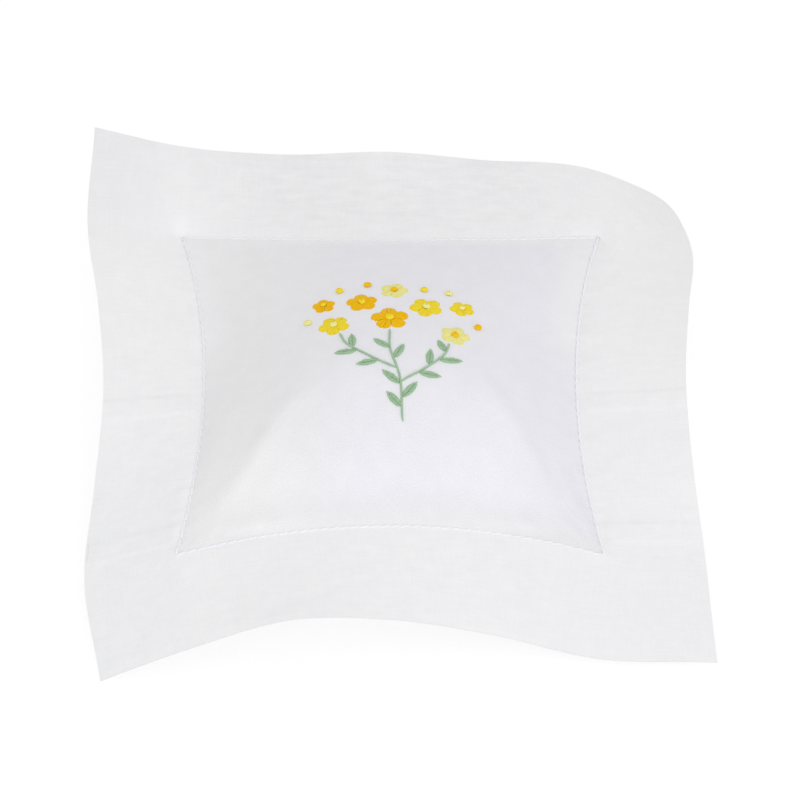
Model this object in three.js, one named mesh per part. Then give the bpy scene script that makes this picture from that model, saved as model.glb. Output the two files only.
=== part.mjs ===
// Scented sachet: a white cotton case with a flat flange all round, sewn one flange in from its
// edge, closed behind by two overlapping hemmed panels, with a loose muslin pouch of dried
// fragrant filling inside and a small embroidered sprig on the front.
// Millimetres, +Z up, the far side at +Y. The origin is the middle of the footprint, on the table.
//
// Every layer of cloth is laid out on the flat pattern first, x and y from the middle of the
// panel, and then takes its place in space from one common form. Layers above one another
// share the same pattern lines, so they stay parallel and never touch.

import * as THREE from 'three';

// Case, flat
const seamHalfWidth = 51.1;
const flangeWidth = 26.5;
const hemWidth = 6;
const lowerHemEdge = -3.5;
const upperHemSetback = 3.1;
const edgeSeamInset = 1;

// Cloth and thread
const clothThickness = 0.3;
const threadDiameter = 0.25;
const clearance = 0.3;

// Filled shape, as it rests
const cornerDrawIn = 0.9;
const sideDrawIn = 6;
const farCornerHeight = 8.5;
const nearCornerHeight = 10.5;
const farSideRise = 6;
const nearSideRise = 3.5;
const endSideRise = 4.5;
const crownHeight = 21.7;
const nearFaceRise = 51;
const farFaceRise = 16.2;
const bellyDepth = 26;
const overlapRamp = 3;

// Pouch and filling
const pouchSetback = 5.1;
const pouchSeamAllowance = 5;
const fillingInset = 2;

// Embroidery
const sprigLength = 54;
const stitchHeight = 0.4;
const stemThickness = 0.6;
const petalLength = 3.5;
const petalWidth = 3.3;
const flowerEyeRadius = 0.9;
const budRadius = 1.15;
const leafLength = 6.4;
const leafWidth = 2.1;
const leafSpread = THREE.MathUtils.degToRad(42);
const flowerTurn = THREE.MathUtils.degToRad(24);

// Fineness of the facets
const clothCell = 8.6;
const stemStep = 4;

// Ratios
const crownPeakShare = 0.55;
const crownAcrossFullness = 1.5;
const crownAlongFullness = 1.2;
const crownFaceSharpness = 4;
const nearFaceEase = 1.76;
const farFaceBulge = 0.78;
const bellyFullnessShare = 0.65;
const pouchFullnessShare = 0.3;
const archRiseShare = 1 / 3;
const slopeProbeShare = 0.01;
const steepestRatio = 2;

const layerGap = threadDiameter + 2 * clearance;
const layerPitch = clothThickness + layerGap;
const caseHalfWidth = seamHalfWidth + flangeWidth;
const edgeSeamHalfWidth = caseHalfWidth - edgeSeamInset;
const upperHemEdge = upperHemSetback - seamHalfWidth;
const cornerHalfWidth = seamHalfWidth - cornerDrawIn;
const pouchHalfWidth = seamHalfWidth - pouchSetback;
const pouchSeamHalfWidth = pouchHalfWidth - pouchSeamAllowance;
const fillingHalfWidth = pouchSeamHalfWidth - fillingInset;
const slopeProbe = seamHalfWidth * slopeProbeShare;

// Sides in order, clockwise from above: far, right, near, left
const outwards = [[0, 1], [1, 0], [0, -1], [-1, 0]];
const alongs = [[1, 0], [0, -1], [-1, 0], [0, 1]];
const sideRises = [farSideRise, endSideRise, nearSideRise, endSideRise];
const cornerHeights = [farCornerHeight, farCornerHeight, nearCornerHeight, nearCornerHeight];

// Where the loose outer edge lies, seen from the seam, as shares of the flange width along
// x, y and z. Each side has six places, clockwise, the first at its corner.
const edgeShares = [
  [-0.81, 1.08, 0.30], [-0.60, 1.01, 0.12], [-0.31, 0.99, 0.05],
  [-0.01, 0.98, 0.10], [0.24, 1.00, -0.04], [0.49, 0.98, -0.12],
  [0.69, 0.73, -0.31], [0.98, 0.41, -0.07], [1.00, 0.20, 0.09],
  [0.98, -0.07, 0.15], [1.00, -0.34, 0.06], [1.03, -0.60, -0.17],
  [1.00, -0.91, -0.38], [0.61, -1.00, -0.45], [0.30, -0.93, -0.34],
  [0.07, -0.97, -0.12], [-0.22, -1.00, -0.03], [-0.45, -1.06, -0.20],
  [-0.66, -1.12, -0.38], [-0.94, -0.76, -0.30], [-0.94, -0.42, -0.16],
  [-0.90, -0.10, 0.03], [-0.94, 0.26, 0.08], [-0.98, 0.62, 0.16],
];
const placesPerSide = edgeShares.length / outwards.length;

const edgeCurves = outwards.map((outward, side) => {
  const places = [];
  for (let place = 0; place <= placesPerSide; place += 1) {
    const row = edgeShares[(side * placesPerSide + place) % edgeShares.length];
    places.push(new THREE.Vector3(...row));
  }
  return new THREE.CatmullRomCurve3(places, false, 'catmullrom');
});

const materials = {
  cotton: new THREE.MeshStandardMaterial({ color: 0xf2f2f5, roughness: 0.92, metalness: 0 }),
  muslin: new THREE.MeshStandardMaterial({ color: 0xe9e3d3, roughness: 0.95, metalness: 0 }),
  filling: new THREE.MeshStandardMaterial({ color: 0x8a7a98, roughness: 1, metalness: 0 }),
  whiteThread: new THREE.MeshStandardMaterial({ color: 0xfafafa, roughness: 0.6, metalness: 0 }),
  deepYellow: new THREE.MeshStandardMaterial({ color: 0xf3b400, roughness: 0.5, metalness: 0 }),
  midYellow: new THREE.MeshStandardMaterial({ color: 0xebcd23, roughness: 0.5, metalness: 0 }),
  paleYellow: new THREE.MeshStandardMaterial({ color: 0xe8e482, roughness: 0.5, metalness: 0 }),
  sageGreen: new THREE.MeshStandardMaterial({ color: 0x6ea573, roughness: 0.55, metalness: 0 }),
};

const sachet = new THREE.Group();
const assembly = new THREE.Group();
sachet.add(assembly);

function addPiece(name, geometry, material) {
  const piece = new THREE.Mesh(geometry, material);
  piece.name = name;
  assembly.add(piece);
}

// Common form

function seamPoint(side, along) {
  const bow = 1 - along * along;
  const out = cornerHalfWidth - sideDrawIn * bow;
  const run = cornerHalfWidth * along;
  const start = cornerHeights[side];
  const end = cornerHeights[(side + 1) % cornerHeights.length];
  return new THREE.Vector3(
    outwards[side][0] * out + alongs[side][0] * run,
    outwards[side][1] * out + alongs[side][1] * run,
    THREE.MathUtils.lerp(start, end, (1 + along) / 2) + sideRises[side] * bow,
  );
}

function sideOf(x, y) {
  if (Math.abs(y) >= Math.abs(x)) {
    return y > 0 ? 0 : 2;
  }
  return x > 0 ? 1 : 3;
}

// A point of the flange: the cloth runs from the seam to the loose edge, and what it is longer
// than that distance stands up as a shallow arch, highest two thirds of the way out
function flangePoint(x, y) {
  const side = sideOf(x, y);
  const reach = Math.max(Math.abs(x), Math.abs(y));
  const along = (x * alongs[side][0] + y * alongs[side][1]) / reach;
  const outShare = (reach - seamHalfWidth) / flangeWidth;
  const run = edgeCurves[side].getPoint((1 + along) / 2).multiplyScalar(flangeWidth);
  const chord = run.length();
  const spare = Math.max(0, (flangeWidth * Math.hypot(1, along)) / chord - 1);
  const arch = chord * Math.sqrt(archRiseShare * spare);
  const point = seamPoint(side, along).addScaledVector(run, outShare);
  point.z += arch * (27 / 4) * outShare * outShare * (1 - outShare);
  return point;
}

// The level sheet that the seam spans inside the panel
function panelPoint(x, y) {
  const a = x / seamHalfWidth;
  const b = y / seamHalfWidth;
  const bowX = 1 - a * a;
  const bowY = 1 - b * b;
  const corners = THREE.MathUtils.lerp(nearCornerHeight, farCornerHeight, (1 + b) / 2);
  const sides = bowX * THREE.MathUtils.lerp(nearSideRise, farSideRise, (1 + b) / 2);
  return new THREE.Vector3(
    a * (cornerHalfWidth - sideDrawIn * bowY),
    b * (cornerHalfWidth - sideDrawIn * bowX),
    corners + sides + endSideRise * bowY,
  );
}

function onPanel(x, y) {
  return Math.max(Math.abs(x), Math.abs(y)) < seamHalfWidth;
}

function formPoint(x, y) {
  return onPanel(x, y) ? panelPoint(x, y) : flangePoint(x, y);
}

// The crown is a dome, highest nearer the viewer than the middle, cut by a near face that starts
// level at its seam and by a bulging far face, with rounded ridges where they meet
function crown(x, y) {
  if (!onPanel(x, y)) {
    return 0;
  }
  const a = x / seamHalfWidth;
  const b = y / seamHalfWidth;
  const shifted = (b + crownPeakShare) / (1 + crownPeakShare * b);
  const across = (1 - a * a) ** crownAcrossFullness;
  const dome = crownHeight * across * (1 - shifted * shifted) ** crownAlongFullness;
  const nearFace = nearFaceRise * (1 + b) ** nearFaceEase;
  const farFace = farFaceRise * (1 - b) * (1 + farFaceBulge * b);
  const faces = [dome, nearFace, farFace];
  const sum = faces.reduce((total, face) => total + (crownHeight / face) ** crownFaceSharpness, 0);
  return crownHeight * sum ** (-1 / crownFaceSharpness);
}

function bellyShare(x, y) {
  if (!onPanel(x, y)) {
    return 0;
  }
  const a = x / seamHalfWidth;
  const b = y / seamHalfWidth;
  return ((1 - a * a) * (1 - b * b)) ** bellyFullnessShare;
}

// One where both back panels lie over one another, fading to zero outside
function overlapAt(y) {
  const beyond = Math.max(y - lowerHemEdge, upperHemEdge - y, 0);
  return Math.max(0, 1 - beyond / overlapRamp);
}

function frontBase(x, y) {
  return Math.max(formPoint(x, y).z, layerPitch * overlapAt(y)) + crown(x, y);
}

function backBase(x, y) {
  const share = bellyShare(x, y);
  const pushed = layerPitch * overlapAt(y) * (1 - share);
  return Math.max(0, formPoint(x, y).z - bellyDepth * share - pushed);
}

// How much taller than thick a slanting layer stands
function slant(heightAt, x, y) {
  if (!onPanel(x, y)) {
    return 1;
  }
  const limit = seamHalfWidth - slopeProbe;
  const px = THREE.MathUtils.clamp(x, -limit, limit);
  const py = THREE.MathUtils.clamp(y, -limit, limit);
  const slopeX = (heightAt(px + slopeProbe, py) - heightAt(px - slopeProbe, py)) / (2 * slopeProbe);
  const slopeY = (heightAt(px, py + slopeProbe) - heightAt(px, py - slopeProbe)) / (2 * slopeProbe);
  return Math.min(steepestRatio, Math.hypot(1, slopeX, slopeY));
}

function frontUnder(x, y) {
  return frontBase(x, y) + layerPitch * slant(frontBase, x, y);
}

function frontTop(x, y) {
  return frontUnder(x, y) + clothThickness * slant(frontBase, x, y);
}

function lowerTop(x, y) {
  return backBase(x, y) + clothThickness * slant(backBase, x, y);
}

function upperUnder(x, y) {
  return backBase(x, y) + layerPitch * overlapAt(y) * slant(backBase, x, y);
}

function upperTop(x, y) {
  return upperUnder(x, y) + clothThickness * slant(backBase, x, y);
}

function backUnder(x, y) {
  return y <= lowerHemEdge ? backBase(x, y) : upperUnder(x, y);
}

// Pouch, between the upper back panel and the front

function pouchSwell(x, y) {
  const a = Math.min(1, Math.abs(x) / pouchSeamHalfWidth);
  const b = Math.min(1, Math.abs(y) / pouchSeamHalfWidth);
  return ((1 - a * a) * (1 - b * b)) ** pouchFullnessShare;
}

function pouchMiddle(x, y) {
  return (frontUnder(x, y) + upperTop(x, y)) / 2;
}

function pouchSlant(x, y) {
  return THREE.MathUtils.lerp(1, slant(frontBase, x, y), pouchSwell(x, y));
}

function pouchTop(x, y) {
  const rim = pouchMiddle(x, y) + clothThickness + clearance / 2;
  const full = frontUnder(x, y) - clearance * slant(frontBase, x, y);
  return THREE.MathUtils.lerp(rim, full, pouchSwell(x, y));
}

function pouchFrontUnder(x, y) {
  return pouchTop(x, y) - clothThickness * pouchSlant(x, y);
}

function pouchBottom(x, y) {
  const rim = pouchMiddle(x, y) - clothThickness - clearance / 2;
  const full = upperTop(x, y) + layerGap * slant(backBase, x, y);
  return THREE.MathUtils.lerp(rim, full, pouchSwell(x, y));
}

function pouchBackTop(x, y) {
  return pouchBottom(x, y) + clothThickness * pouchSlant(x, y);
}

function fillingTop(x, y) {
  return pouchFrontUnder(x, y) - clearance * pouchSlant(x, y);
}

function fillingBottom(x, y) {
  return pouchBackTop(x, y) + clearance * pouchSlant(x, y);
}

// Cloth

// Pattern lines at each stop, with even lines between them no further apart than one cell
function patternLines(stops) {
  const sorted = [...new Set(stops)].sort((first, second) => first - second);
  const lines = [sorted[0]];
  for (let stop = 1; stop < sorted.length; stop += 1) {
    const cells = Math.ceil((sorted[stop] - sorted[stop - 1]) / clothCell);
    for (let cell = 1; cell <= cells; cell += 1) {
      lines.push(THREE.MathUtils.lerp(sorted[stop - 1], sorted[stop], cell / cells));
    }
  }
  return lines;
}

const halfWidths = [
  caseHalfWidth, edgeSeamHalfWidth, seamHalfWidth, pouchHalfWidth, pouchSeamHalfWidth, fillingHalfWidth,
];
const mirroredStops = halfWidths.flatMap((halfWidth) => [-halfWidth, halfWidth]);
const xLines = patternLines(mirroredStops);
const yLines = patternLines([
  ...mirroredStops, upperHemEdge, upperHemEdge + hemWidth, lowerHemEdge - hemWidth, lowerHemEdge,
]);

function within(lines, low, high) {
  return lines.filter((line) => line >= low && line <= high);
}

// A closed sheet between two height functions, over a rectangle of the pattern
function addLayer(name, columns, rows, underAt, topAt, material) {
  const across = columns.length - 1;
  const down = rows.length - 1;
  const geometry = new THREE.BoxGeometry(across, down, 1, across, down, 1);
  const places = geometry.getAttribute('position');
  for (let index = 0; index < places.count; index += 1) {
    const x = columns[Math.round(places.getX(index) + across / 2)];
    const y = rows[Math.round(places.getY(index) + down / 2)];
    const heightAt = places.getZ(index) > 0 ? topAt : underAt;
    const point = formPoint(x, y);
    places.setXYZ(index, point.x, point.y, heightAt(x, y));
  }
  alignUnderside(geometry);
  geometry.computeVertexNormals();
  addPiece(name, geometry, material);
}

// The underside's cells are split along the same diagonal as the top's, so that neighbouring
// layers stay parallel in twisted cells too
function alignUnderside(geometry) {
  const underside = geometry.groups[geometry.groups.length - 1];
  const corners = geometry.getIndex();
  for (let cell = underside.start; cell < underside.start + underside.count; cell += 6) {
    const [a, b, d, , c] = [0, 1, 2, 3, 4].map((corner) => corners.getX(cell + corner));
    [a, b, c, a, c, d].forEach((corner, place) => corners.setX(cell + place, corner));
  }
}

function addCase() {
  const upperRows = within(yLines, upperHemEdge, caseHalfWidth);
  const lowerRows = within(yLines, -caseHalfWidth, lowerHemEdge);
  addLayer('front_cover', xLines, yLines, frontUnder, frontTop, materials.cotton);
  addLayer('back_cover_upper', xLines, upperRows, upperUnder, upperTop, materials.cotton);
  addLayer('back_cover_lower', xLines, lowerRows, backBase, lowerTop, materials.cotton);
}

function addPouch() {
  const columns = within(xLines, -pouchHalfWidth, pouchHalfWidth);
  const rows = within(yLines, -pouchHalfWidth, pouchHalfWidth);
  addLayer('pouch_front', columns, rows, pouchFrontUnder, pouchTop, materials.muslin);
  addLayer('pouch_back', columns, rows, pouchBottom, pouchBackTop, materials.muslin);
  const fillingColumns = within(xLines, -fillingHalfWidth, fillingHalfWidth);
  const fillingRows = within(yLines, -fillingHalfWidth, fillingHalfWidth);
  addLayer('pouch_filling', fillingColumns, fillingRows, fillingBottom, fillingTop, materials.filling);
}

// Thread

// A path that is cut at its own places, so that a thread bends where the cloth's facets do
class ThreadPath extends THREE.CatmullRomCurve3 {
  getPointAt(share, target) {
    return this.getPoint(share, target);
  }

  getTangentAt(share, target) {
    return this.getTangent(share, target);
  }
}

function addThread(name, points, diameter, halfSides, material) {
  const path = new ThreadPath(points, false, 'centripetal');
  const section = new THREE.Shape().absarc(0, 0, diameter / 2, 0, 2 * Math.PI);
  const extrude = { steps: points.length - 1, curveSegments: halfSides, extrudePath: path };
  addPiece(name, new THREE.ExtrudeGeometry(section, extrude), material);
}

// Pattern places round a square, from the middle of the far side, clockwise, with a place just
// before and just after each corner, and a small gap where the two ends meet
function squarePlaces(halfWidth) {
  const cornerStops = [-halfWidth, clearance - halfWidth, halfWidth - clearance];
  const places = [];
  outwards.forEach((outward, side) => {
    const [alongX, alongY] = alongs[side];
    const lines = alongX === 0 ? yLines : xLines;
    const crossed = lines.map((line) => line * (alongX + alongY));
    const runs = [...new Set([...cornerStops, ...within(crossed, -halfWidth, halfWidth)])];
    runs.sort((first, second) => first - second);
    runs.slice(0, -1).forEach((run) => {
      places.push([outward[0] * halfWidth + alongX * run, outward[1] * halfWidth + alongY * run]);
    });
  });
  const middle = places.findIndex((place) => place[0] > clearance);
  const around = [...places.slice(middle), ...places.slice(0, middle)];
  const clear = around.filter((place) => place[1] < 0 || Math.abs(place[0]) > clearance);
  return [[clearance, halfWidth], ...clear, [-clearance, halfWidth]];
}

function addSquareThread(name, halfWidth, heightAt, material) {
  const points = squarePlaces(halfWidth).map(([x, y]) => {
    const point = formPoint(x, y);
    return new THREE.Vector3(point.x, point.y, heightAt(x, y));
  });
  addThread(name, points, threadDiameter, 2, material);
}

function addHemThread(name, y, heightAt) {
  const end = edgeSeamHalfWidth - layerGap;
  const runs = [-end, ...within(xLines, -end, end), end];
  const points = runs.map((x) => {
    const point = formPoint(x, y);
    return new THREE.Vector3(point.x, point.y, heightAt(x, y));
  });
  addThread(name, points, threadDiameter, 2, materials.whiteThread);
}

function addSeams() {
  const halfGap = layerGap / 2;
  const off = clearance + threadDiameter;
  const onFront = (x, y) => frontTop(x, y) + off;
  const underBack = (x, y) => backUnder(x, y) - off;
  const insideEdge = (x, y) => frontUnder(x, y) - halfGap;
  const onPouch = (x, y) => pouchTop(x, y) + off;
  addSquareThread('panel_seam_needle_thread', seamHalfWidth, onFront, materials.whiteThread);
  addSquareThread('panel_seam_bobbin_thread', seamHalfWidth, underBack, materials.whiteThread);
  addSquareThread('edge_seam_thread', edgeSeamHalfWidth, insideEdge, materials.whiteThread);
  addSquareThread('pouch_seam_thread', pouchSeamHalfWidth, onPouch, materials.muslin);
  const onUpper = (x, y) => upperTop(x, y) + halfGap * slant(backBase, x, y);
  const onLower = (x, y) => lowerTop(x, y) + halfGap * slant(backBase, x, y);
  addHemThread('upper_hem_thread', upperHemEdge + hemWidth, onUpper);
  addHemThread('lower_hem_thread', lowerHemEdge - hemWidth, onLower);
}

// Embroidery, drawn flat and then laid on the front

function frontPoint(x, y) {
  const point = formPoint(x, y);
  point.z = frontTop(x, y);
  return point;
}

function frontNormal(x, y) {
  const alongX = frontPoint(x + slopeProbe, y).sub(frontPoint(x - slopeProbe, y));
  const alongY = frontPoint(x, y + slopeProbe).sub(frontPoint(x, y - slopeProbe));
  return alongX.cross(alongY).normalize();
}

function layOnFront(geometry) {
  const places = geometry.getAttribute('position');
  for (let index = 0; index < places.count; index += 1) {
    const x = places.getX(index);
    const y = places.getY(index);
    const lift = clearance + places.getZ(index);
    const point = frontPoint(x, y).addScaledVector(frontNormal(x, y), lift);
    places.setXYZ(index, point.x, point.y, point.z);
  }
  geometry.computeVertexNormals();
  return geometry;
}

function flowerOutline(sizeShare) {
  const petals = 5;
  const pointsPerPetal = 4;
  const middle = (petalLength + flowerEyeRadius + clearance) * sizeShare;
  const notch = (petalLength - petalWidth / 2) * sizeShare;
  const outline = [];
  for (let step = 0; step < petals * pointsPerPetal; step += 1) {
    const angle = (2 * Math.PI * step) / (petals * pointsPerPetal);
    const lobe = Math.sqrt(Math.abs(Math.cos((petals * angle) / 2)));
    const radius = middle - notch * (1 - lobe);
    outline.push(new THREE.Vector2(radius * Math.cos(angle), radius * Math.sin(angle)));
  }
  return outline;
}

function addFlower(name, x, y, sizeShare, turn, petalMaterial, eyeMaterial) {
  const shape = new THREE.Shape(flowerOutline(sizeShare));
  const hole = new THREE.Path().absarc(0, 0, (flowerEyeRadius + clearance) * sizeShare, 0, 2 * Math.PI);
  shape.holes.push(hole);
  const extrude = { depth: stitchHeight, bevelEnabled: false, curveSegments: 4 };
  const petals = new THREE.ExtrudeGeometry(shape, extrude).rotateZ(turn).translate(x, y, 0);
  addPiece(`${name}_petals`, layOnFront(petals), petalMaterial);
  addKnot(`${name}_eye`, x, y, flowerEyeRadius * sizeShare, eyeMaterial);
}

function addKnot(name, x, y, radius, material) {
  const knot = new THREE.SphereGeometry(radius, 8, 5);
  knot.scale(1, 1, stitchHeight / radius).translate(x, y, stitchHeight);
  addPiece(name, layOnFront(knot), material);
}

function addLeaf(name, x, y, turn, lengthShare) {
  const length = leafLength * lengthShare;
  const shape = new THREE.Shape();
  shape.quadraticCurveTo(length / 2, leafWidth, length, 0);
  shape.quadraticCurveTo(length / 2, -leafWidth, 0, 0);
  const extrude = { depth: stitchHeight, bevelEnabled: false, curveSegments: 4 };
  const leaf = new THREE.ExtrudeGeometry(shape, extrude).rotateZ(turn).translate(x, y, 0);
  addPiece(name, layOnFront(leaf), materials.sageGreen);
}

// Stems as shares of the sprig's length, from the foot up: the places each passes through,
// the size of the flower at its tip, and its leaves by place along it, side and length
const stemShares = [
  {
    through: [[0.06, -0.52], [0.05, -0.30], [0.00, -0.10], [0.00, 0.04]],
    flower: 1.15,
    leaves: [[0.12, -1, 0.85], [0.20, 1, 0.95], [0.33, -1, 1.0], [0.62, 1, 0.95], [0.76, -1, 0.85]],
  },
  {
    through: [[0.01, -0.23], [-0.10, -0.16], [-0.22, -0.05], [-0.25, 0.03]],
    flower: 0.95,
    leaves: [[0.22, -1, 0.9], [0.56, -1, 0.95], [0.66, 1, 0.85]],
  },
  {
    through: [[0.085, -0.30], [0.17, -0.24], [0.27, -0.13], [0.30, -0.04]],
    flower: 0.9,
    leaves: [[0.2, 1, 0.95], [0.42, -1, 0.95], [0.6, 1, 1.0], [0.82, -1, 0.75]],
  },
];
const flowerShares = [
  [-0.14, 0.30, 0.95], [0.18, 0.26, 1.0], [0.02, 0.41, 0.85], [-0.33, 0.30, 0.7], [0.36, 0.28, 0.75],
];
const budShares = [[-0.11, 0.46], [0.17, 0.42], [-0.41, 0.17], [0.44, 0.14], [-0.25, 0.42], [0.29, 0.40]];

function addStem(name, stem) {
  const flat = new THREE.CatmullRomCurve3(
    stem.through.map(([x, y]) => new THREE.Vector3(x, y, 0).multiplyScalar(sprigLength)),
  );
  const lift = clearance + stemThickness / 2;
  const steps = Math.ceil(flat.getLength() / stemStep);
  const points = flat.getSpacedPoints(steps).map((place) => (
    frontPoint(place.x, place.y).addScaledVector(frontNormal(place.x, place.y), lift)
  ));
  addThread(name, points, stemThickness, 3, materials.sageGreen);
  stem.leaves.forEach(([along, side, lengthShare], index) => {
    const foot = flat.getPointAt(along);
    const tangent = flat.getTangentAt(along);
    const heading = Math.atan2(tangent.y, tangent.x);
    const reach = stemThickness / 2 + clearance;
    foot.x += side * reach * Math.sin(heading);
    foot.y -= side * reach * Math.cos(heading);
    addLeaf(`${name}_leaf_${index + 1}`, foot.x, foot.y, heading - side * leafSpread, lengthShare);
  });
  const tip = flat.getPointAt(1);
  const tangent = flat.getTangentAt(1);
  const reach = (petalLength + flowerEyeRadius + clearance) * stem.flower + clearance;
  return tip.addScaledVector(tangent, reach);
}

function addSprig() {
  const yellows = [materials.deepYellow, materials.midYellow, materials.paleYellow];
  let flowers = 0;
  const flowerAt = (x, y, sizeShare) => {
    const petal = yellows[flowers % yellows.length];
    const eye = yellows[(flowers + 1) % yellows.length];
    flowers += 1;
    addFlower(`flower_${flowers}`, x, y, sizeShare, flowerTurn * flowers, petal, eye);
  };
  stemShares.forEach((stem, index) => {
    const tip = addStem(`stem_${index + 1}`, stem);
    flowerAt(tip.x, tip.y, stem.flower);
  });
  flowerShares.forEach(([x, y, sizeShare]) => {
    flowerAt(x * sprigLength, y * sprigLength, sizeShare);
  });
  budShares.forEach(([x, y], index) => {
    const material = yellows[index % yellows.length];
    addKnot(`bud_${index + 1}`, x * sprigLength, y * sprigLength, budRadius, material);
  });
}

addCase();
addPouch();
addSeams();
addSprig();

// The origin is the middle of the footprint, on the table
const box = new THREE.Box3().setFromObject(assembly, true);
const middle = box.getCenter(new THREE.Vector3());
assembly.position.set(-middle.x, -middle.y, -box.min.z);

export default sachet;
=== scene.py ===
import math
from functools import partial

import bpy
import numpy as np
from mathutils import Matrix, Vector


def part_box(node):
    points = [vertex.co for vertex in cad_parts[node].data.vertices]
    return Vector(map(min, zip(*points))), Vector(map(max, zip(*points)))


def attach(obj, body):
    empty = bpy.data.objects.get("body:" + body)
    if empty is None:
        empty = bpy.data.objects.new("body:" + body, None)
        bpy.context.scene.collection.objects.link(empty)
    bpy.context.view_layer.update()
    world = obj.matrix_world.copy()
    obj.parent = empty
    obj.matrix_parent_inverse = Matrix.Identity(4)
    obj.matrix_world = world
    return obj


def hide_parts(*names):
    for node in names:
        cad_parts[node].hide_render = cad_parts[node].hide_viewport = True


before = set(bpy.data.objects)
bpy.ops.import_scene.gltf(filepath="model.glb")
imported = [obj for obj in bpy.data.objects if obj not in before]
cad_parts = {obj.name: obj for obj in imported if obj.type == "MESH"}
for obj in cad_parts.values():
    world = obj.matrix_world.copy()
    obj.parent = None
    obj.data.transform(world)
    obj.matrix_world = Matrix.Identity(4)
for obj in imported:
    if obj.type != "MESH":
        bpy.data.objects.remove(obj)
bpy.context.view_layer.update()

# Scented sachet, dressed. Every layer is laid out on the flat pattern, x and y from the middle
# of the panel, and takes its place in space from one common form, as in the solids. The front is
# then filled by a cloth simulation, held at its seam and its loose edge. Metres, +Z up.

MM = 0.001

# Case, flat
SEAM_HALF = 51.1 * MM
FLANGE = 26.5 * MM
CASE_HALF = SEAM_HALF + FLANGE
HEM_WIDTH = 6 * MM
HEM_TURN = 0.2 * MM
HEM_PLACES = 8
LOWER_HEM_EDGE = -3.5 * MM
UPPER_HEM_EDGE = -48.0 * MM
EDGE_SEAM_HALF = CASE_HALF - 1 * MM

# Layers
CLOTH = 0.22 * MM
MUSLIN = 0.25 * MM
LAYER_PITCH = 1.15 * MM
TOUCHING = 0.24 * MM
RIM_DROP = 0.1 * MM
RIM_REACH = 2.6 * MM
FRONT_RISE = 1.3 * MM
BACK_RISE = 0.15 * MM
BACK_SET_IN = 0.6 * MM
BACK_HALF = CASE_HALF - BACK_SET_IN

# Filled shape, as it rests
CORNER_HALF = SEAM_HALF - 0.9 * MM
SIDE_DRAW_IN = 6 * MM
FAR_CORNER = 8.5 * MM
NEAR_CORNER = 10.5 * MM
FAR_RISE = 6 * MM
NEAR_RISE = 3.5 * MM
END_RISE = 4.5 * MM
CROWN_HEIGHT = 21.7 * MM
CROWN_PEAK_SHARE = 0.55
CROWN_ACROSS_FULLNESS = 1.5
CROWN_ALONG_FULLNESS = 1.2
NEAR_FACE_RISE = 51 * MM
NEAR_FACE_EASE = 1.76
FAR_FACE_RISE = 16.2 * MM
FAR_FACE_BULGE = 0.78
FACE_SHARPNESS = 4
ARCH_SCALE = 27 / 4
BELLY_DEPTH = 26 * MM
BELLY_FULLNESS = 0.65
BELLY_EDGE = 5 * MM
BELLY_RIPPLE = 0.25 * MM
BELLY_RIPPLE_CELL = 8 * MM
FLAT_ON_FLOOR = 0.3 * MM
CLEAR_OF_FLOOR = 3 * MM
OVERLAP_RAMP = 3 * MM
FLOOR_SOFTNESS = 1.2 * MM

# Pouch and filling. Gaps are to the front and to the back cloth.
POUCH_HALF = 46 * MM
POUCH_SEAM_HALF = 41 * MM
POUCH_SEAM_GAP = 0.25 * MM
POUCH_GAPS = (0.6 * MM, 0.9 * MM)
POUCH_CELL = 1.2 * MM
POUCH_FULLNESS = 0.3
FILLING_HALF = 39 * MM
FILLING_GAPS = (1.1 * MM, 1.4 * MM)
FILLING_CELL = 1 * MM
FILLING_SQUARENESS = 8
BUMP_CELL = 2.2 * MM
BUMP_HEIGHT_MM = 0.8

# Sewing. A stitch dips and stands by shares of its ply's radius. The rises are those of the far,
# right, near and left rows. A hump has a margin, which keeps its ends thick, and a power, which
# makes it blunt.
SEAM_STITCHES = 42
STITCH = 2 * SEAM_HALF / SEAM_STITCHES
STITCH_PLACES = 13
STITCH_MARGIN = 0.04
STITCH_DIP = -1.6
STITCH_STAND = 2.9
STITCH_TURN = 1.7
STITCH_HUMP = (0, 0.45)
STITCH_SLANT = 0.16 * MM
PLY_RADIUS = 0.16 * MM
PLY_TWIST = 0.9 * MM
PLY_WIDTH = 1.05
PLY_HEIGHT = 0.9
INNER_PLY = 0.06 * MM
INNER_SLANT = 0.05 * MM
HEM_PLY = 0.07 * MM
HEM_SEAM_END = 1 * MM
HEM_SEAM_INSET = 0.8 * MM
HEM_SEAM_LIFT = 0.4 * MM
NEEDLE_RISES = np.array([-1.0, 0.3, -0.8, 0.3])

# Relief of the cloth. A noise has its share, the size of its cells and a seed.
HEM_RELIEF = 0.2 * MM
HEM_SLOPE = 0.6 * MM
HEM_START = 3 * MM
SEWN_WIDTH = 0.7 * MM
SEWN_TURN = 4 * MM
SEWN_FAR_AND_NEAR = 0.03
SEWN_LEFT_AND_RIGHT = 0.16
SIDE_END = 1.5 * MM
STITCH_PUCKER_MM = 0.05
STITCH_PUCKER_REACH = 0.8 * MM
GATHER_PUCKER_MM = 0.13
GATHER_OFF = 2 * MM
GATHER_WIDTH = 2.6 * MM
GATHER_CORNER = 2.5 * MM
GATHERS = ((1, 2.1 * STITCH, 3), (0.6, 0.9 * STITCH, 5))
BACK_PUCKER = 0.5
RIPPLE = 0.05 * MM
RIPPLES = ((1, 9 * MM, 11), (0.5, 4 * MM, 12))
NOISE_SIZE = 64

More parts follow.
